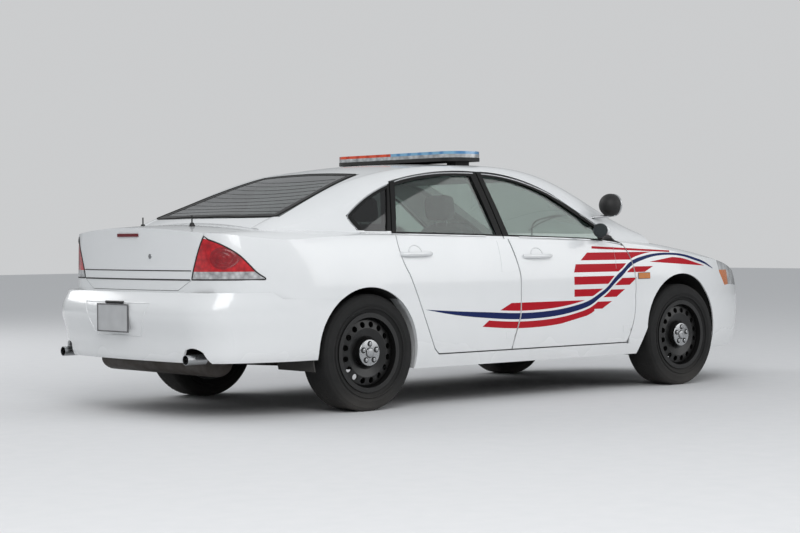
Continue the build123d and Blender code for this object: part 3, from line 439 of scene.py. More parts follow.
clear_glass = glass_finish("clear_glass", (0.46, 0.55, 0.51, 1))
smoked_glass = glass_finish("smoked_glass", (0.10, 0.11, 0.11, 1))
lens_glass = glass_finish("lens_glass", (0.92, 0.93, 0.93, 1))
for side, _ in SIDES:
    for end in ("front", "rear"):
        paint_node(f"door_glass_{end}_{side}", clear_glass)
paint_node("windshield", clear_glass)
paint_node("rear_window", smoked_glass)
paint_node("quarter_glass", smoked_glass)


# Plain finishes of metal, plastic, rubber and cloth
# Cast, pressed and moulded parts under and inside the body, each with its own grain and dirt.
def solid_finish(name, colour, rough, metal=0.0, grain=180.0, depth=0.15, dirt_height=0.0, second=None):
    """A finish with a grain, a little colour change and road dirt up to a height."""
    made, tree, shader = node_material(name)
    vector = object_place(tree)
    patch = add_node(tree, "ShaderNodeTexNoise", Vector=vector, Scale=11.0, Detail=6.0)
    darker = tuple(0.72 * c for c in colour) + (1,) if second is None else second + (1,)
    base = mix_colour(tree, patch.outputs[0], colour + (1,), darker)
    level = mix_value(tree, patch.outputs[0], rough, min(1.0, rough + 0.14))
    if dirt_height:
        dirt = dirt_node(tree, vector, dirt_height)
        base = mix_colour(tree, math_node(tree, "MULTIPLY", dirt, 0.5), base, (0.16, 0.145, 0.13, 1))
        level = mix_value(tree, dirt, level, 0.85)
    fill(tree, shader.inputs["Base Color"], base)
    fill(tree, shader.inputs["Roughness"], level)
    fill(tree, shader.inputs["Normal"], noise_bump(tree, vector, grain, depth))
    shader.inputs["Metallic"].default_value = metal
    return made


chrome = solid_finish("chrome", (0.62, 0.63, 0.64), 0.10, 1.0, 300.0, 0.02)
black_plastic = solid_finish("black_plastic", (0.010, 0.010, 0.010), 0.50, 0.0, 420.0, 0.25)
grey_plastic = solid_finish("grey_plastic", (0.12, 0.12, 0.125), 0.55, 0.0, 500.0, 0.3)
black_rubber = solid_finish("black_rubber", (0.014, 0.014, 0.014), 0.62, 0.0, 350.0, 0.2)
under_coating = solid_finish("under_coating", (0.030, 0.030, 0.030), 0.85, 0.0, 160.0, 0.6, 0.9)
cast_metal = solid_finish("cast_metal", (0.30, 0.30, 0.30), 0.5, 0.8, 220.0, 0.5)
dark_steel = solid_finish("dark_steel", (0.045, 0.044, 0.043), 0.6, 0.4, 200.0, 0.4, 0.8)
pipe_steel = solid_finish("pipe_steel", (0.16, 0.13, 0.11), 0.55, 0.7, 200.0, 0.4, 0.6, (0.09, 0.05, 0.035))
wheel_black = solid_finish("wheel_black", (0.006, 0.006, 0.006), 0.30, 0.0, 240.0, 0.08, 0.12)
tyre_rubber = solid_finish("tyre_rubber", (0.012, 0.012, 0.012), 0.85, 0.0, 320.0, 0.3, 0.20)
seat_cloth = solid_finish("seat_cloth", (0.10, 0.10, 0.105), 0.9, 0.0, 900.0, 0.8)
wheel_names = [f"wheel_{end}_{side}" for side, _ in SIDES for end in ("front", "rear")]
tyre_names = [f"tyre_{end}_{side}" for side, _ in SIDES for end in ("front", "rear")]
for finish, names in (
    (chrome, ("grille", "spotlights")),
    (black_plastic, ("cowl", "light_bar", "steering_wheel")),
    (under_coating, ("underbody",)),
    (cast_metal, ("engine",)),
    (dark_steel, ("front_subframe", "rear_axle", "knuckle_left", "knuckle_right")),
    (pipe_steel, ("exhaust",)),
    (grey_plastic, ("dashboard",)),
    (seat_cloth, ("front_seats", "rear_seat")),
    (panel_white, ("mirror_left", "mirror_right")),
    (wheel_black, wheel_names),
    (tyre_rubber, tyre_names),
):
    for name in names:
        paint_node(name, finish)


# Lamps
# The tail lamps are red acrylic over round reflectors, with a clear reversing strip below. The
# headlamps are clear over chrome bowls, with an amber turn lamp at the side.
def lens_gloss(shader, rough):
    """The hard shiny face of a moulded lens."""
    shader.inputs["Roughness"].default_value = rough
    shader.inputs["Coat Weight"].default_value = 1.0
    shader.inputs["Coat Roughness"].default_value = 0.02


def tail_lamp_finish():
    """Red lens above, clear strip below, with the reflectors' rings showing through and painted shade over
    the bowls.
    """
    made, tree, shader = node_material("tail_lamp_lens")
    vector = object_place(tree)
    _, y, z = axes(tree, vector)
    aside = math_node(tree, "SUBTRACT", math_node(tree, "ABSOLUTE", y), 0.735)
    up = math_node(tree, "SUBTRACT", z, 0.905)
    squares = math_node(tree, "ADD", math_node(tree, "POWER", aside, 2.0), math_node(tree, "POWER", up, 2.0))
    far = math_node(tree, "SQRT", squares)
    rings = math_node(tree, "SINE", math_node(tree, "MULTIPLY", far, 330.0))
    bowl = math_node(tree, "LESS_THAN", far, 0.062)
    facet = add_node(tree, "ShaderNodeTexVoronoi", Vector=vector, Scale=38.0)
    glow = mix_colour(tree, facet.outputs["Distance"], (0.62, 0.012, 0.020, 1), (0.28, 0.004, 0.010, 1))
    # Painted shade: the red is darkened over each round reflector bowl.
    shade = mix_colour(tree, math_node(tree, "MULTIPLY", bowl, 0.6), glow, (0.11, 0.003, 0.008, 1))
    clear = math_node(tree, "LESS_THAN", z, 0.829)
    silver = mix_colour(tree, facet.outputs["Distance"], (0.62, 0.63, 0.64, 1), (0.22, 0.22, 0.23, 1))
    fill(tree, shader.inputs["Base Color"], mix_colour(tree, clear, shade, silver))
    ridges = math_node(tree, "MULTIPLY", rings, bowl)
    bump = add_node(tree, "ShaderNodeBump", Height=ridges, Strength=0.25, Distance=0.002)
    fill(tree, shader.inputs["Normal"], bump.outputs[0])
    lens_gloss(shader, 0.22)
    return made


def headlamp_finish():
    """Clear lens: bright bowls inside, an amber lamp at the outer end."""
    made, tree, shader = node_material("headlamp_lens")
    vector = object_place(tree)
    x, _, z = axes(tree, vector)
    outer_end = math_node(tree, "LESS_THAN", x, 2.08)
    amber = math_node(tree, "MULTIPLY", outer_end, math_node(tree, "LESS_THAN", z, 0.775))
    facet = add_node(tree, "ShaderNodeTexVoronoi", Vector=vector, Scale=14.0)
    silver = mix_colour(tree, facet.outputs["Distance"], (0.86, 0.87, 0.88, 1), (0.30, 0.31, 0.32, 1))
    fill(tree, shader.inputs["Base Color"], mix_colour(tree, amber, silver, (0.85, 0.22, 0.02, 1)))
    lens_gloss(shader, 0.12)
    shader.inputs["Metallic"].default_value = 0.4
    return made


paint_node("tail_lamps", tail_lamp_finish())
paint_node("headlamps", headlamp_finish())


# Light bar
# A low clear dome on a black tray, strapped to the roof's edges. Red modules stand on the left
# half and blue ones on the right.
def beacon_finish():
    """The two-colour dome: red on the left, blue on the right, with the modules' ribs."""
    made, tree, shader = node_material("beacon_lens")
    vector = object_place(tree)
    _, y, z = axes(tree, vector)
    left = math_node(tree, "GREATER_THAN", y, 0.0)
    ribs = math_node(tree, "SINE", math_node(tree, "MULTIPLY", y, 62.0))
    clear_low = math_node(tree, "LESS_THAN", z, 1.541)
    red = mix_colour(tree, ribs, (0.72, 0.085, 0.030, 1), (0.50, 0.040, 0.015, 1))
    blue = mix_colour(tree, ribs, (0.20, 0.42, 0.62, 1), (0.08, 0.24, 0.48, 1))
    top = mix_colour(tree, left, blue, red)
    facet = add_node(tree, "ShaderNodeTexVoronoi", Vector=vector, Scale=24.0)
    module = mix_colour(tree, facet.outputs["Distance"], (0.62, 0.64, 0.65, 1), (0.20, 0.21, 0.22, 1))
    fill(tree, shader.inputs["Base Color"], mix_colour(tree, clear_low, top, module))
    lens_gloss(shader, 0.15)
    return made


paint_node("light_bar_lenses", beacon_finish())


# Side window mouldings
# Bright mouldings run under and over the side windows, clipped to each door and to the quarter
# panel. Under them lies black rubber, which also seals the glass.
outer_names = [f"body_side_{side}" for side, _ in SIDES]
for part_name in ("door", "door_glass"):
    outer_names += [f"{part_name}_{end}_{side}" for end in ("front", "rear") for side, _ in SIDES]
outer_names += [
    "roof_panel", "windshield", "rear_window", "quarter_glass", "rear_deck", "fenders", "front_bumper",
    "rear_bumper", "hood", "trunk_lid", "headlamps", "tail_lamps", "cowl",
]


def outer_skin():
    """The outer faces of the body, to lay trim on."""
    points, faces = [], []
    for name in outer_names:
        mesh = nodes[name].data
        start = len(points)
        points.extend(vertex.co.copy() for vertex in mesh.vertices)
        faces.extend(tuple(start + i for i in face.vertices) for face in mesh.polygons)
    return BVHTree.FromPolygons(points, faces)


skin = outer_skin()


def on_side(x, z, way, proud=0.0):
    """The point on the car's side at a station and height, moved outwards by proud."""
    hit = skin.ray_cast(Vector((x, way * 1.3, z)), Vector((0, -way, 0)))
    return hit[0] + Vector((0, way * proud, 0))


def on_top(x, y, proud=0.0):
    """The point on the car's top over a place."""
    hit = skin.ray_cast(Vector((x, y, 2.0)), Vector((0, 0, -1)))
    return hit[0] + Vector((0, 0, proud))


def on_end(y, z, way, proud=0.0):
    """The point on the car's rear (way -1) or front (way 1)."""
    hit = skin.ray_cast(Vector((way * 3.0, y, z)), Vector((-way, 0, 0)))
    return hit[0] + Vector((way * proud, 0, 0))


def smooth_row(points, steps=6):
    """A row of places with more between them, on a smooth curve through all of them."""
    row = []
    rows = [Vector(p) for p in points]
    for i in range(len(rows) - 1):
        before, start = rows[max(i - 1, 0)], rows[i]
        end, after = rows[i + 1], rows[min(i + 2, len(rows) - 1)]
        for k in range(steps):
            t = k / steps
            bend = (2 * before - 5 * start + 4 * end - after) * t * t
            twist = (3 * start - before - 3 * end + after) * t ** 3
            row.append(0.5 * (2 * start + (end - before) * t + bend + twist))
    row.append(rows[-1])
    return row


def finish_piece(piece, body, finish, slot):
    """Finish a new piece: its place put into its mesh, with its body, finish and smooth shading."""
    bpy.ops.object.select_all(action="DESELECT")
    piece.select_set(True)
    bpy.context.view_layer.objects.active = piece
    if piece.type != "MESH":
        bpy.ops.object.convert(target="MESH")
        piece = bpy.context.object
    bpy.ops.object.transform_apply(location=True, rotation=True, scale=True)
    for modifier in list(piece.modifiers):
        bpy.ops.object.modifier_apply(modifier=modifier.name)
    bpy.ops.object.shade_smooth_by_angle(angle=math.radians(38))
    piece.data.materials.clear()
    piece.data.materials.append(finish)
    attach(piece, body)
    piece.select_set(False)
    return piece


def bead(name, points, radius, body, finish, slot, closed=False):
    """A round moulding along a row of places."""
    curve = bpy.data.curves.new(name, "CURVE")
    curve.dimensions = "3D"
    curve.bevel_depth = radius
    curve.bevel_resolution = 2
    curve.use_fill_caps = True
    spline = curve.splines.new("POLY")
    spline.points.add(len(points) - 1)
    for spot, place in zip(spline.points, points):
        spot.co = (*place, 1.0)
    spline.use_cyclic_u = closed
    piece = bpy.data.objects.new(name, curve)
    scene.collection.objects.link(piece)
    return finish_piece(piece, body, finish, slot)


window_sill = ((-1.400, 1.040), (-1.140, 1.036), (-0.202, 1.016), (0.543, 0.994), (0.868, 0.960))
window_top = (
    (-1.372, 1.060), (-1.412, 1.115), (-1.404, 1.155), (-1.230, 1.262), (-1.029, 1.342),
    (-0.861, 1.381), (-0.686, 1.404), (-0.510, 1.414), (-0.293, 1.413), (-0.085, 1.397),
    (0.115, 1.357), (0.332, 1.282), (0.565, 1.154), (0.706, 1.068), (0.850, 0.968),
)
moulding_proud = 0.001
# Each moulding's name, its places, its radius, and where it ends on the quarter panel, the rear door
# and the front door
mouldings = (
    ("sill_moulding", window_sill, 0.0055, ((-1.390, -1.134), (-1.118, -0.212), (-0.193, 0.845))),
    ("top_moulding", window_top, 0.0040, ((-1.420, -1.052), (-1.028, -0.308), (-0.285, 0.835))),
)
for side, way in SIDES:
    bodies = (("quarter", "body"), ("rear_door", f"rear_door_{side}"), ("front_door", f"front_door_{side}"))
    for name, places, radius, ends in mouldings:
        course = smooth_row([(x, z, 0) for x, z in places])
        for (panel, body), (low_x, high_x) in zip(bodies, ends):
            row = [on_side(p.x, p.y, way, moulding_proud) for p in course if low_x < p.x < high_x]
            bead(f"{name}_{panel}_{side}", row, radius, body, chrome, "chrome_trim")


# Door handles
# Painted pull handles, moulded in plastic and bolted through the door skin, each with a shallow
# finger dish behind it.
def spread(start, end, count):
    """Evenly spaced values from start to end."""
    return [start + (end - start) * i / (count - 1) for i in range(count)]


handle_half, handle_radius = 0.122, 0.0125
# How far the handle stands off the door at shares of its half length
handle_steps = (
    (-1.0, 0.002), (-0.88, 0.012), (-0.6, 0.021), (0.0, 0.026), (0.6, 0.021), (0.88, 0.012), (1.0, 0.002))
dish_length, dish_height, dish_lift = 0.052, 0.044, 0.008
for side, way in SIDES:
    for end, middle_x, z in (("front", 0.029, 0.893), ("rear", -1.003, 0.916)):
        body = f"{end}_door_{side}"
        places = [on_side(middle_x + handle_half * share, z, way, out) for share, out in handle_steps]
        row = smooth_row(places)
        bead(f"{end}_door_handle_{side}", row, handle_radius, body, panel_white, "white_paint")
        dish_row = []
        for angle in spread(0.04 * math.pi, 0.96 * math.pi, 25):
            dish_x = middle_x + dish_length * math.cos(angle)
            dish_row.append(on_side(dish_x, z + dish_lift + dish_height * math.sin(angle), way, 0.0005))
        bead(f"{end}_door_handle_dish_{side}", dish_row, 0.0035, body, panel_white, "white_paint")


# Tail lamp gap shade
# A black bead round each tail lamp where the lens meets the panel: painted shade in the gap there.
lamp_flank = (
    (-2.120, 0.784), (-2.100, 0.790), (-2.150, 0.828), (-2.228, 0.917), (-2.300, 0.975), (-2.352, 1.009))
lamp_inner = ((0.640, 1.028), (0.610, 0.960), (0.570, 0.860), (0.548, 0.787))
for side, way in SIDES:
    row = [on_side(x, z, way) for x, z, _ in smooth_row([(x, z, 0) for x, z in lamp_flank])]
    row += [on_end(way * y, z, -1) for y, z, _ in smooth_row([(y, z, 0) for y, z in lamp_inner])]
    row += [on_end(way * y, 0.784, -1) for y in spread(0.552, 0.804, 15)]
    # Painted shade: the black bead stands for the shaded gap round the lamp.
    bead(f"tail_lamp_gap_shade_{side}", row, 0.0040, "body", black_rubber, "black_plastic", closed=True)


# Boot lid's details
# A key lock, the high stop lamp at the top edge, and two black beads along the folded lines that cross
# the lid between the lamps, which are painted shade in those folds. The badge places stay bare.
def mesh_piece(name, places, faces):
    """A new object made of places and the faces between them."""
    mesh = bpy.data.meshes.new(name)
    mesh.from_pydata(places, [], faces)
    piece = bpy.data.objects.new(name, mesh)
    scene.collection.objects.link(piece)
    return piece


def thicken(piece, thick, offset=0.0):
    """Give a sheet its thickness, half of it on each side where the offset is nought."""
    wall = piece.modifiers.new("wall", "SOLIDIFY")
    wall.thickness = thick
    wall.offset = offset


def patch(name, rail_a, rail_b, body, finish, slot, thick=0.002):
    """A thin strip of sheet between two rows of places."""
    count = len(rail_a)
    faces = [(i, i + 1, count + i + 1, count + i) for i in range(count - 1)]
    piece = mesh_piece(name, [*rail_a, *rail_b], faces)
    thicken(piece, thick)
    return finish_piece(piece, body, finish, slot)


def named(name):
    """The piece that was just added, with its name."""
    bpy.context.object.name = name
    return bpy.context.object


def cylinder(name, vertices, radius, depth, place, turn, **options):
    """A new cylinder, turned and put in its place."""
    bpy.ops.mesh.primitive_cylinder_add(
        vertices=vertices, radius=radius, depth=depth, location=place, rotation=turn, **options)
    return named(name)


def edit_mesh(select=None):
    """Start to edit the active piece's mesh, with all or none of it selected if that is asked."""
    bpy.ops.object.mode_set(mode="EDIT")
    if select:
        bpy.ops.mesh.select_all(action=select)


def edit_done():
    """Go back from editing a mesh."""
    bpy.ops.object.mode_set(mode="OBJECT")


along_x = (0, math.pi / 2, 0)
# Painted shade: black beads along the lid's two folded lines.
for level, z, half, radius in (("upper", 0.834, 0.545, 0.0030), ("lower", 0.783, 0.535, 0.0042)):
    row = [on_end(y, z, -1) for y in spread(-half, half, 41)]
    bead(f"lid_fold_shade_line_{level}", row, radius, "boot_lid", black_rubber, "black_plastic")
lock = cylinder("lid_lock", 40, 0.016, 0.010, on_end(-0.205, 0.915, -1), along_x)
edit_mesh("DESELECT")
edit_done()
for face in lock.data.polygons:
    face.select = abs(face.normal.z) > 0.9 and len(face.vertices) > 4
edit_mesh()
bpy.ops.mesh.inset(thickness=0.004, depth=-0.002)
edit_done()
finish_piece(lock, "boot_lid", chrome, "chrome_trim")
red_lens = solid_finish("red_lens", (0.16, 0.006, 0.012), 0.15, 0.0, 90.0, 0.1)
low, high = ([on_end(y, z, -1, 0.003) for y in spread(-0.105, 0.105, 13)] for z in (1.028, 1.046))
patch("high_stop_lamp", low, high, "boot_lid", red_lens, "red_lens", 0.008)


# Number plate
# A blank pressed-aluminium plate in the bumper's recess, in a plastic frame that is bolted to the
# bumper, under a black lamp housing. The bolts aren't modelled.
plate_white = solid_finish("plate_white", (0.62, 0.63, 0.64), 0.35, 0.3, 260.0, 0.1)
plate_spots = [(0.025 * i, 0.480 + 0.02 * k) for i in range(-6, 7) for k in range(9)]
plate_x = min(on_end(y, z, -1).x for y, z in plate_spots) - 0.002
low, high = ([Vector((plate_x, y, z)) for y in (-0.152, 0.0, 0.152)] for z in (0.487, 0.637))
patch("number_plate", low, high, "body", plate_white, "white_paint", 0.002)
frame_places = ((-0.155, 0.484), (0.155, 0.484), (0.155, 0.640), (-0.155, 0.640))
frame_row = [Vector((plate_x, y, z)) for y, z in frame_places]
bead("plate_frame", frame_row, 0.0055, "body", grey_plastic, "grey_plastic", closed=True)
recess_row = [on_end(y, z, -1) for y, z in (
    *[(y, 0.652) for y in spread(-0.323, 0.323, 21)], (0.300, 0.60), (0.268, 0.54), (0.236, 0.472),
    *[(y, 0.462) for y in spread(0.226, -0.226, 17)], (-0.236, 0.472), (-0.268, 0.54), (-0.300, 0.60))]
bead("plate_recess_rim", recess_row, 0.0040, "body", panel_white, "white_paint", closed=True)
lamp_row = [on_end(y, 0.652, -1, 0.004) for y in spread(-0.09, 0.09, 9)]
bead("plate_lamp_housing", lamp_row, 0.008, "body", black_plastic, "black_plastic")


# Side marker lamps
# Amber lamps clipped into the front fenders, ahead of the doors.
amber_lens = solid_finish("amber_lens", (0.62, 0.22, 0.05), 0.18, 0.0, 90.0, 0.1)
for side, way in SIDES:
    low, high = ([on_side(x, z, way, 0.002) for x in spread(0.975, 1.090, 7)] for z in (0.733, 0.770))
    patch(f"side_marker_{side}", low, high, "body", amber_lens, "lamp_lens", 0.008)
    rim = low + high[::-1]
    bead(f"side_marker_rim_{side}", rim, 0.003, "body", grey_plastic, "grey_plastic", closed=True)


# Wheel centre caps
# Pressed bright caps over the hubs, each with five wheel nuts in round pockets and a plain middle.
# The black discs in the pockets and the black ring round the middle are painted shade.
def round_edges(piece, width, segments=3):
    """Round a piece's edges."""
    rounding = piece.modifiers.new("rounding", "BEVEL")
    rounding.width = width
    rounding.segments = segments


along_y = (math.pi / 2, 0, 0)
wheel_height, front_axle_x, rear_axle_x = 0.343, 1.447, -1.360
cap_face = 0.1005
nut_circle, nut_count = 0.052, 5
bright_steel = solid_finish("bright_steel", (0.50, 0.51, 0.52), 0.20, 1.0, 260.0, 0.05, 0.20)
# The discs of a cap: name, radius, inner and outer face, rounding, finish and slot
cap_discs = (
    ("cap", 0.078, -0.004, 0.008, 0.004, bright_steel, "chrome_trim"),
    # Painted shade: this black ring at the middle's foot stands for the shade in the groove there
    ("cap_groove", 0.031, 0.004, 0.0088, 0.0004, black_plastic, "black_plastic"),
    ("cap_middle", 0.027, 0.004, 0.016, 0.005, bright_steel, "chrome_trim"),
)
for end, x, wheel_y in (("front", front_axle_x, 0.7925), ("rear", rear_axle_x, 0.781)):
    for side, way in SIDES:
        face_y = way * (wheel_y + cap_face)
        body = f"{end}_wheel_{side}"
        for part_name, radius, low, high, edge, finish, slot in cap_discs:
            place = (x, face_y + way * (low + high) / 2, wheel_height)
            disc = cylinder(f"{end}_wheel_{part_name}_{side}", 60, radius, high - low, place, along_y)
            round_edges(disc, edge)
            finish_piece(disc, body, finish, slot)
        for k in range(nut_count):
            turn = math.pi / 2 + 2 * math.pi * k / nut_count
            aside, up = nut_circle * math.cos(turn), nut_circle * math.sin(turn)
            spot = Vector((x + aside, face_y + way * 0.0070, wheel_height + up))
            # Painted shade: a black disc round each nut stands for the shade in its pocket
            pocket_shade = cylinder(f"{end}_wheel_nut_pocket_{side}_{k}", 28, 0.0175, 0.0045, spot, along_y)
            finish_piece(pocket_shade, body, black_plastic, "black_plastic")
            spot.y += way * 0.002
            nut = cylinder(f"{end}_wheel_nut_{side}_{k}", 6, 0.0118, 0.014, spot, (math.pi / 2, turn, 0))
            round_edges(nut, 0.003, 2)
            finish_piece(nut, body, bright_steel, "chrome_trim")


# Spotlights
# A black ball on each windshield post, with a clear lens forward, a bright rim and a bright arm
# that goes through the post to a handle inside.
for side, way in SIDES:
    ball_place = Vector((0.775, way * 0.860, 1.220))
    bpy.ops.mesh.primitive_uv_sphere_add(
        segments=40, ring_count=24, radius=0.076, location=ball_place, rotation=along_x)
    ball = named(f"spotlight_ball_{side}")
    edit_mesh("SELECT")
    cut_place = ball_place + Vector((0.028, 0, 0))
    bpy.ops.mesh.bisect(plane_co=cut_place, plane_no=(1, 0, 0), clear_outer=True, use_fill=True)
    edit_done()
    finish_piece(ball, "body", black_plastic, "black_plastic")
    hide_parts("spotlights")
    bpy.ops.mesh.primitive_torus_add(
        major_radius=0.0705, minor_radius=0.005, major_segments=48, minor_segments=10,
        location=ball_place + Vector((0.029, 0, 0)), rotation=along_x)
    rim = named(f"spotlight_rim_{side}")
    rim.data.transform(Matrix.Scale(1.6, 4, (0, 0, 1)))
    finish_piece(rim, "body", chrome, "chrome_trim")
    lens = cylinder(f"spotlight_lens_{side}", 48, 0.067, 0.006, ball_place + Vector((0.032, 0, 0)), along_x)
    round_edges(lens, 0.002, 1)
    finish_piece(lens, "body", lens_glass, "lamp_lens")
    arm_places = ((0.650, 0.770, 1.128), (0.690, 0.806, 1.140), (0.735, 0.842, 1.146), (0.775, 0.862, 1.150))
    arm_row = smooth_row([(x, way * y, z) for x, y, z in arm_places])
    bead(f"spotlight_arm_{side}", arm_row, 0.010, "body", chrome, "chrome_trim")
    yoke_row = []
    for angle in spread(0.0, 3.0, 16):
        yoke_row.append((0.775, way * (0.862 - 0.035 * math.cos(angle)), 1.150 + 0.012 * math.sin(angle)))
    bead(f"spotlight_yoke_{side}", yoke_row, 0.006, "body", chrome, "chrome_trim")


# Door mirrors
# Painted moulded housings on a black foot, with the mirror glass set in the rear face.
dark_mirror = solid_finish("dark_mirror", (0.10, 0.11, 0.12), 0.05, 1.0, 90.0, 0.01)
mirror_x, mirror_z = 0.585, 1.053
# How much of its width and height a housing keeps at its front
front_width_share, front_height_share = 0.72, 0.62
foot_places = ((0.60, 0.925, 1.012), (0.66, 0.885, 1.010), (0.74, 0.855, 1.006), (0.79, 0.835, 1.002))
for side, way in SIDES:
    body = f"front_door_{side}"
    mirror_y = way * 0.982
    bpy.ops.mesh.primitive_cube_add(size=1.0, location=(mirror_x, mirror_y, mirror_z))
    shell = named(f"mirror_housing_{side}")
    shell.scale = (0.108, 0.150, 0.112)
    bpy.ops.object.transform_apply(location=True, rotation=True, scale=True)
    for vertex in shell.data.vertices:
        if vertex.co.x > mirror_x:
            vertex.co.y = mirror_y + (vertex.co.y - mirror_y) * front_width_share
            vertex.co.z = mirror_z + (vertex.co.z - mirror_z) * front_height_share
    for face in shell.data.polygons:
        face.select = face.normal.x < -0.9
    edit_mesh()
    bpy.ops.mesh.inset(thickness=0.008, depth=0.0)
    bpy.ops.mesh.inset(thickness=0.004, depth=-0.012)
    edit_done()
    rounding = shell.modifiers.new("rounding", "SUBSURF")
    rounding.levels = rounding.render_levels = 3
    finish_piece(shell, body, panel_white, "white_paint")
    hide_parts(f"mirror_{side}")
    glass = cylinder(f"mirror_glass_{side}", 48, 0.5, 0.004, (0.540, mirror_y, mirror_z), along_x)
    glass.scale = (0.092, 0.126, 1.0)
    finish_piece(glass, body, dark_mirror, "chrome_trim")
    foot_row = smooth_row([(x, y * way, z) for x, y, z in foot_places])
    bead(f"mirror_foot_{side}", foot_row, 0.020, body, black_plastic, "black_plastic")


# Exhaust
# A bent steel silencer lies across under the boot floor, with a pipe out at each corner of the
# bumper and one forward under the floor. Rubber hangers, not modelled, hold it to the underbody.
def exhaust_finish():
    """Dull steel, stained by heat and road dirt."""
    made, tree, shader = node_material("exhaust_steel")
    vector = object_place(tree)
    stain = add_node(tree, "ShaderNodeTexNoise", Vector=vector, Scale=16.0, Detail=7.0)
    colour = mix_colour(tree, stain.outputs[0], (0.10, 0.095, 0.09, 1), (0.045, 0.032, 0.025, 1))
    fill(tree, shader.inputs["Base Color"], colour)
    fill(tree, shader.inputs["Roughness"], mix_value(tree, stain.outputs[0], 0.45, 0.75))
    fill(tree, shader.inputs["Normal"], noise_bump(tree, vector, 90.0, 0.3))
    shader.inputs["Metallic"].default_value = 0.6
    return made


exhaust_steel = exhaust_finish()
silencer = cylinder("silencer", 48, 0.5, 1.06, (-2.185, 0, 0.300), along_y)
silencer.scale = (0.205, 0.150, 1.0)
round_edges(silencer, 0.012)
finish_piece(silencer, "body", exhaust_steel, "pipe_steel")
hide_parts("exhaust")
pipe_places = ((-2.185, 0.50, 0.31), (-2.20, 0.59, 0.325), (-2.27, 0.633, 0.341), (-2.37, 0.633, 0.341))
for side, way in SIDES:
    pipe_row = smooth_row([(x, way * y, z) for x, y, z in pipe_places])
    bead(f"tail_pipe_{side}", pipe_row, 0.024, "body", exhaust_steel, "pipe_steel")
    tip_place = (-2.425, way * 0.633, 0.341)
    tip = cylinder(f"tail_pipe_tip_{side}", 48, 0.029, 0.13, tip_place, along_x, end_fill_type="NOTHING")
    thicken(tip, 0.003, -1.0)
    finish_piece(tip, "body", bright_steel, "chrome_trim")
front_places = (
    (-2.10, 0.30), (-1.95, 0.30), (-1.75, 0.285), (-0.9, 0.232), (0.0, 0.232), (0.9, 0.232), (1.14, 0.235))
front_row = smooth_row([(x, 0.0, z) for x, z in front_places])
bead("front_pipe", front_row, 0.030, "body", exhaust_steel, "pipe_steel")


# Seats
# Foam cushions under grey cloth on steel frames bolted to the floor: two front seats with head
# restraints, and a bench with a tall back behind.
def padded_box(name, size, place, lean, corner):
    """A cushion: a crowned block with rounded edges, leaned back."""
    bpy.ops.mesh.primitive_cube_add(size=1.0)
    cushion = named(name)
    cushion.scale = size
    bpy.ops.object.transform_apply(location=False, rotation=False, scale=True)
    edit_mesh("SELECT")
    bpy.ops.mesh.subdivide(number_cuts=9)
    edit_done()
    half = Vector(size) / 2
    channel_depth, channel_turns = 0.004, 44.0
    for vertex in cushion.data.vertices:
        share = Vector(abs(vertex.co[i]) / half[i] for i in range(3))
        for i in range(3):
            j, k = (i + 1) % 3, (i + 2) % 3
            rim = max(share[j], share[k])
            vertex.co[i] *= 1.0 - corner * rim ** 4
        if share.z > 0.9 or share.x > 0.9:
            channel = channel_depth * max(0.0, math.cos(vertex.co.y * channel_turns)) ** 6
            vertex.co.z -= math.copysign(channel, vertex.co.z) * (share.z > 0.9)
            vertex.co.x -= math.copysign(channel, vertex.co.x) * (share.x > 0.9)
    cushion.data.transform(Matrix.Translation(place) @ Matrix.Rotation(lean, 4, "Y"))
    rounding = cushion.modifiers.new("rounding", "SUBSURF")
    rounding.levels = rounding.render_levels = 1
    finish_piece(cushion, "body", seat_cloth, "seat_cloth")
    return cushion


seat_box = {}
for name in ("front_seats", "rear_seat"):
    corners = [vertex.co for vertex in nodes[name].data.vertices]
    seat_box[name] = [Vector(pick(c[i] for c in corners) for i in range(3)) for pick in (min, max)]
low, high = seat_box["front_seats"]
for side, way in SIDES:
    seat_y = way * 0.370
    cushion_place = (low.x + 0.50, seat_y, low.z + 0.28)
    back_place = (low.x + 0.21, seat_y, low.z + 0.56)
    restraint_place = (low.x + 0.10, seat_y, high.z - 0.088)
    cushion = padded_box(f"front_cushion_{side}", (0.50, 0.50, 0.15), cushion_place, -0.06, 0.16)
    padded_box(f"front_backrest_{side}", (0.13, 0.48, 0.58), back_place, -0.22, 0.16)
    padded_box(f"head_restraint_{side}", (0.085, 0.235, 0.165), restraint_place, -0.10, 0.20)
    if side == "left":
        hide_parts("front_seats")
    for k in (-1, 1):
        post_y = seat_y + 0.05 * k
        post_row = [(low.x + 0.115, post_y, high.z - 0.20), (low.x + 0.10, post_y, high.z - 0.12)]
        bead(f"restraint_post_{side}_{k}", post_row, 0.006, "body", chrome, "chrome_trim")
low, high = seat_box["rear_seat"]
bench = padded_box("rear_cushion", (0.50, 1.14, 0.17), (high.x - 0.27, 0, low.z + 0.13), -0.06, 0.10)
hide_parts("rear_seat")
padded_box("rear_backrest", (0.15, 1.14, 0.60), (low.x + 0.17, 0, high.z - 0.31), -0.24, 0.10)


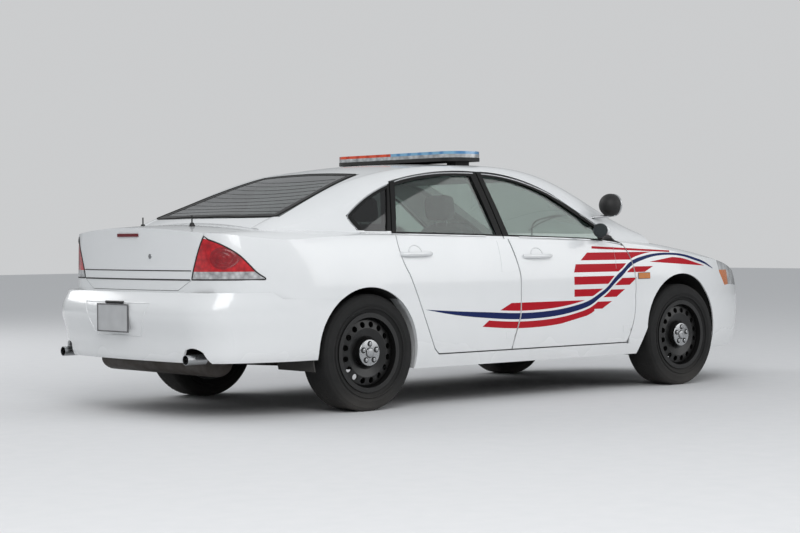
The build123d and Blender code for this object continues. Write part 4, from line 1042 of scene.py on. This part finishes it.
# Rear window border, heating wires and aerials
# A black printed border hides the adhesive at the window's edge, black rubber fills the gap round it,
# and fine heating wires are printed across the glass. Two short aerials stand on the boot lid.
border_out = [
    (-1.819, -0.600, 0), (-1.450, -0.530, 0), (-1.085, -0.450, 0), (-1.075, 0.0, 0), (-1.085, 0.450, 0),
    (-1.450, 0.530, 0), (-1.819, 0.600, 0), (-1.880, 0.330, 0), (-1.905, 0.0, 0), (-1.880, -0.330, 0),
]
border_centre, border_share, border_proud = Vector((-1.45, 0, 0)), 0.91, 0.0012
border_row, border_in = [], []
for i, start in enumerate(border_out):
    end = border_out[(i + 1) % len(border_out)]
    for k in range(5):
        spot = Vector(start).lerp(Vector(end), k / 5)
        inner = border_centre + (spot - border_centre) * border_share
        border_row.append(on_top(spot.x, spot.y, border_proud))
        border_in.append(on_top(inner.x, inner.y, border_proud))
border_row.append(border_row[0])
border_in.append(border_in[0])
patch("rear_window_border", border_row, border_in, "body", black_plastic, "black_plastic", 0.0012)
for k in range(9):
    wire_x = -1.20 - 0.068 * k
    wire_half = 0.395 + 0.020 * k
    wire = [on_top(wire_x - 0.05 * (1 - t ** 2), wire_half * t, 0.0006) for t in spread(-1.0, 1.0, 17)]
    bead(f"rear_window_wire_{k}", wire, 0.0008, "body", black_rubber, "black_plastic")
bead("rear_window_seal", border_row[:-1], 0.0050, "body", black_rubber, "black_plastic", closed=True)
for name, x, y in (("aerial_front", -2.05, 0.42), ("aerial_rear", -2.20, -0.30)):
    foot = on_top(x, y)
    bpy.ops.mesh.primitive_cone_add(
        vertices=32, radius1=0.020, radius2=0.010, depth=0.022, location=foot + Vector((0, 0, 0.010)))
    base = named(f"{name}_foot")
    finish_piece(base, "boot_lid", black_plastic, "black_plastic")
    rod_row = [foot + Vector((0, 0, up)) for up in (0.015, 0.062)]
    bead(f"{name}_rod", rod_row, 0.0042, "boot_lid", black_plastic, "black_plastic")


# Door skin closing plates
# They stand in for painted steel door skin that the solids lack beside the hinges, at each door's
# leading edge. The real car has whole skins there and no plates.

# Each leading edge, as heights and places along the car
rear_edge = ((0.795, -0.147), (0.990, -0.200))
rear_foot_edge = ((0.378, -0.196), (0.426, -0.178))
front_foot_edge = ((0.378, 0.894), (0.426, 0.916))
front_edge = ((0.800, 0.930), (0.850, 0.914), (0.900, 0.892), (0.930, 0.876), (0.955, 0.861))


def edge_at(table, z):
    """Where a door's leading edge lies at a height."""
    for (low_z, low_x), (high_z, high_x) in zip(table, table[1:]):
        if z <= high_z:
            return low_x + (high_x - low_x) * (z - low_z) / (high_z - low_z)
    return table[-1][1]


def closing_plate(name, table, back_x, beyond_x, low_z, high_z, way, body):
    """A thin plate between the skin behind an opening and the door's leading edge."""
    rows, across = [], 9
    for z in spread(low_z, high_z, 11):
        start, stop = on_side(back_x, z, way), on_side(beyond_x, z, way)
        for x in spread(back_x, edge_at(table, z), across):
            share = (x - back_x) / (beyond_x - back_x)
            rows.append(start.lerp(stop, share) + Vector((0, way * 0.0010, 0)))
    firsts = [k * across + i for k in range(10) for i in range(across - 1)]
    quads = [(i, i + 1, i + across + 1, i + across) for i in firsts]
    plate = mesh_piece(name, rows, quads if way > 0 else [quad[::-1] for quad in quads])
    thicken(plate, 0.0016)
    return finish_piece(plate, body, door_white, "white_paint")


for side, way in SIDES:
    for name, table, back_x, beyond_x, low_z, high_z, end in (
        ("rear_door_plate", rear_edge, -0.300, -0.100, 0.796, 0.990, "rear"),
        ("rear_door_foot_plate", rear_foot_edge, -0.260, -0.100, 0.380, 0.424, "rear"),
        ("front_door_foot_plate", front_foot_edge, 0.830, 0.965, 0.380, 0.424, "front"),
        ("front_door_plate", front_edge, 0.760, 0.965, 0.802, 0.952, "front"),
    ):
        closing_plate(f"{name}_{side}", table, back_x, beyond_x, low_z, high_z, way, f"{end}_door_{side}")


# Tyre treads and sidewalls
# Moulded rubber blocks in four rows round each tyre, with a raised rib on each sidewall.
block_rows, row_step, blocks_round = 4, 0.044, 64
# A block's foot and top: distance from the axle, half its length as an angle, and half its width
block_ends = ((0.336, 0.036, 0.018), (0.3441, 0.033, 0.0165))
block_slant = 0.008
block_faces = ((0, 3, 2, 1), (4, 5, 6, 7), (0, 1, 5, 4), (1, 2, 6, 5), (2, 3, 7, 6), (3, 0, 4, 7))
rib_ring, rib_radius, rib_inset = 0.262, 0.0055, 0.006
for end, x, low_y, high_y in (("front", front_axle_x, 0.675, 0.910), ("rear", rear_axle_x, 0.664, 0.899)):
    for side, way in SIDES:
        body = f"{end}_wheel_{side}"
        corners, quads = [], []
        for r in range(block_rows):
            middle_y = way * ((low_y + high_y) / 2 + (r - 1.5) * row_step)
            for k in range(blocks_round):
                turn = 2 * math.pi * (k + 0.5 * (r % 2)) / blocks_round
                quads += [tuple(len(corners) + i for i in quad) for quad in block_faces]
                for far, half_turn, half_width in block_ends:
                    for across, along in ((-1, -1), (1, -1), (1, 1), (-1, 1)):
                        angle = turn + along * half_turn + across * block_slant
                        aside, up = far * math.cos(angle), far * math.sin(angle)
                        corners.append((x + aside, middle_y + across * half_width, wheel_height + up))
        tread = mesh_piece(f"{end}_tread_{side}", corners, quads)
        bpy.ops.object.select_all(action="DESELECT")
        tread.select_set(True)
        bpy.context.view_layer.objects.active = tread
        edit_mesh("SELECT")
        bpy.ops.mesh.normals_make_consistent(inside=False)
        edit_done()
        finish_piece(tread, body, tyre_rubber, "tyre_rubber")
        for rib_name, rib_y in (("outer", high_y - rib_inset), ("inner", low_y + rib_inset)):
            bpy.ops.mesh.primitive_torus_add(
                major_radius=rib_ring, minor_radius=rib_radius, major_segments=72, minor_segments=8,
                location=(x, way * rib_y, wheel_height), rotation=along_y)
            rib = named(f"{end}_tyre_rib_{rib_name}_{side}")
            finish_piece(rib, body, tyre_rubber, "tyre_rubber")


# Windshield wipers
# Two black arms on the cowl's pivots, each with a rubber blade lying on the glass.
pivot_x, elbow_x, tip_x = 1.360, 1.26, 1.10
for name, pivot_y, tip_y in (("left", 0.42, -0.12), ("right", -0.10, -0.56)):
    elbow_y = pivot_y - 0.10
    arm = [
        on_top(pivot_x, pivot_y, 0.014), on_top(elbow_x, elbow_y, 0.018),
        on_top((elbow_x + tip_x) / 2, (elbow_y + tip_y) / 2, 0.016),
        on_top(tip_x + 0.04, tip_y + 0.06, 0.013),
    ]
    bead(f"wiper_arm_{name}", smooth_row(arm), 0.0060, "body", black_plastic, "black_plastic")
    blade_places = zip(spread(1.30, tip_x, 13), spread(pivot_y - 0.02, tip_y - 0.02, 13))
    blade = [on_top(x, y, 0.004) for x, y in blade_places]
    bead(f"wiper_blade_{name}", blade, 0.0045, "body", black_rubber, "black_plastic")
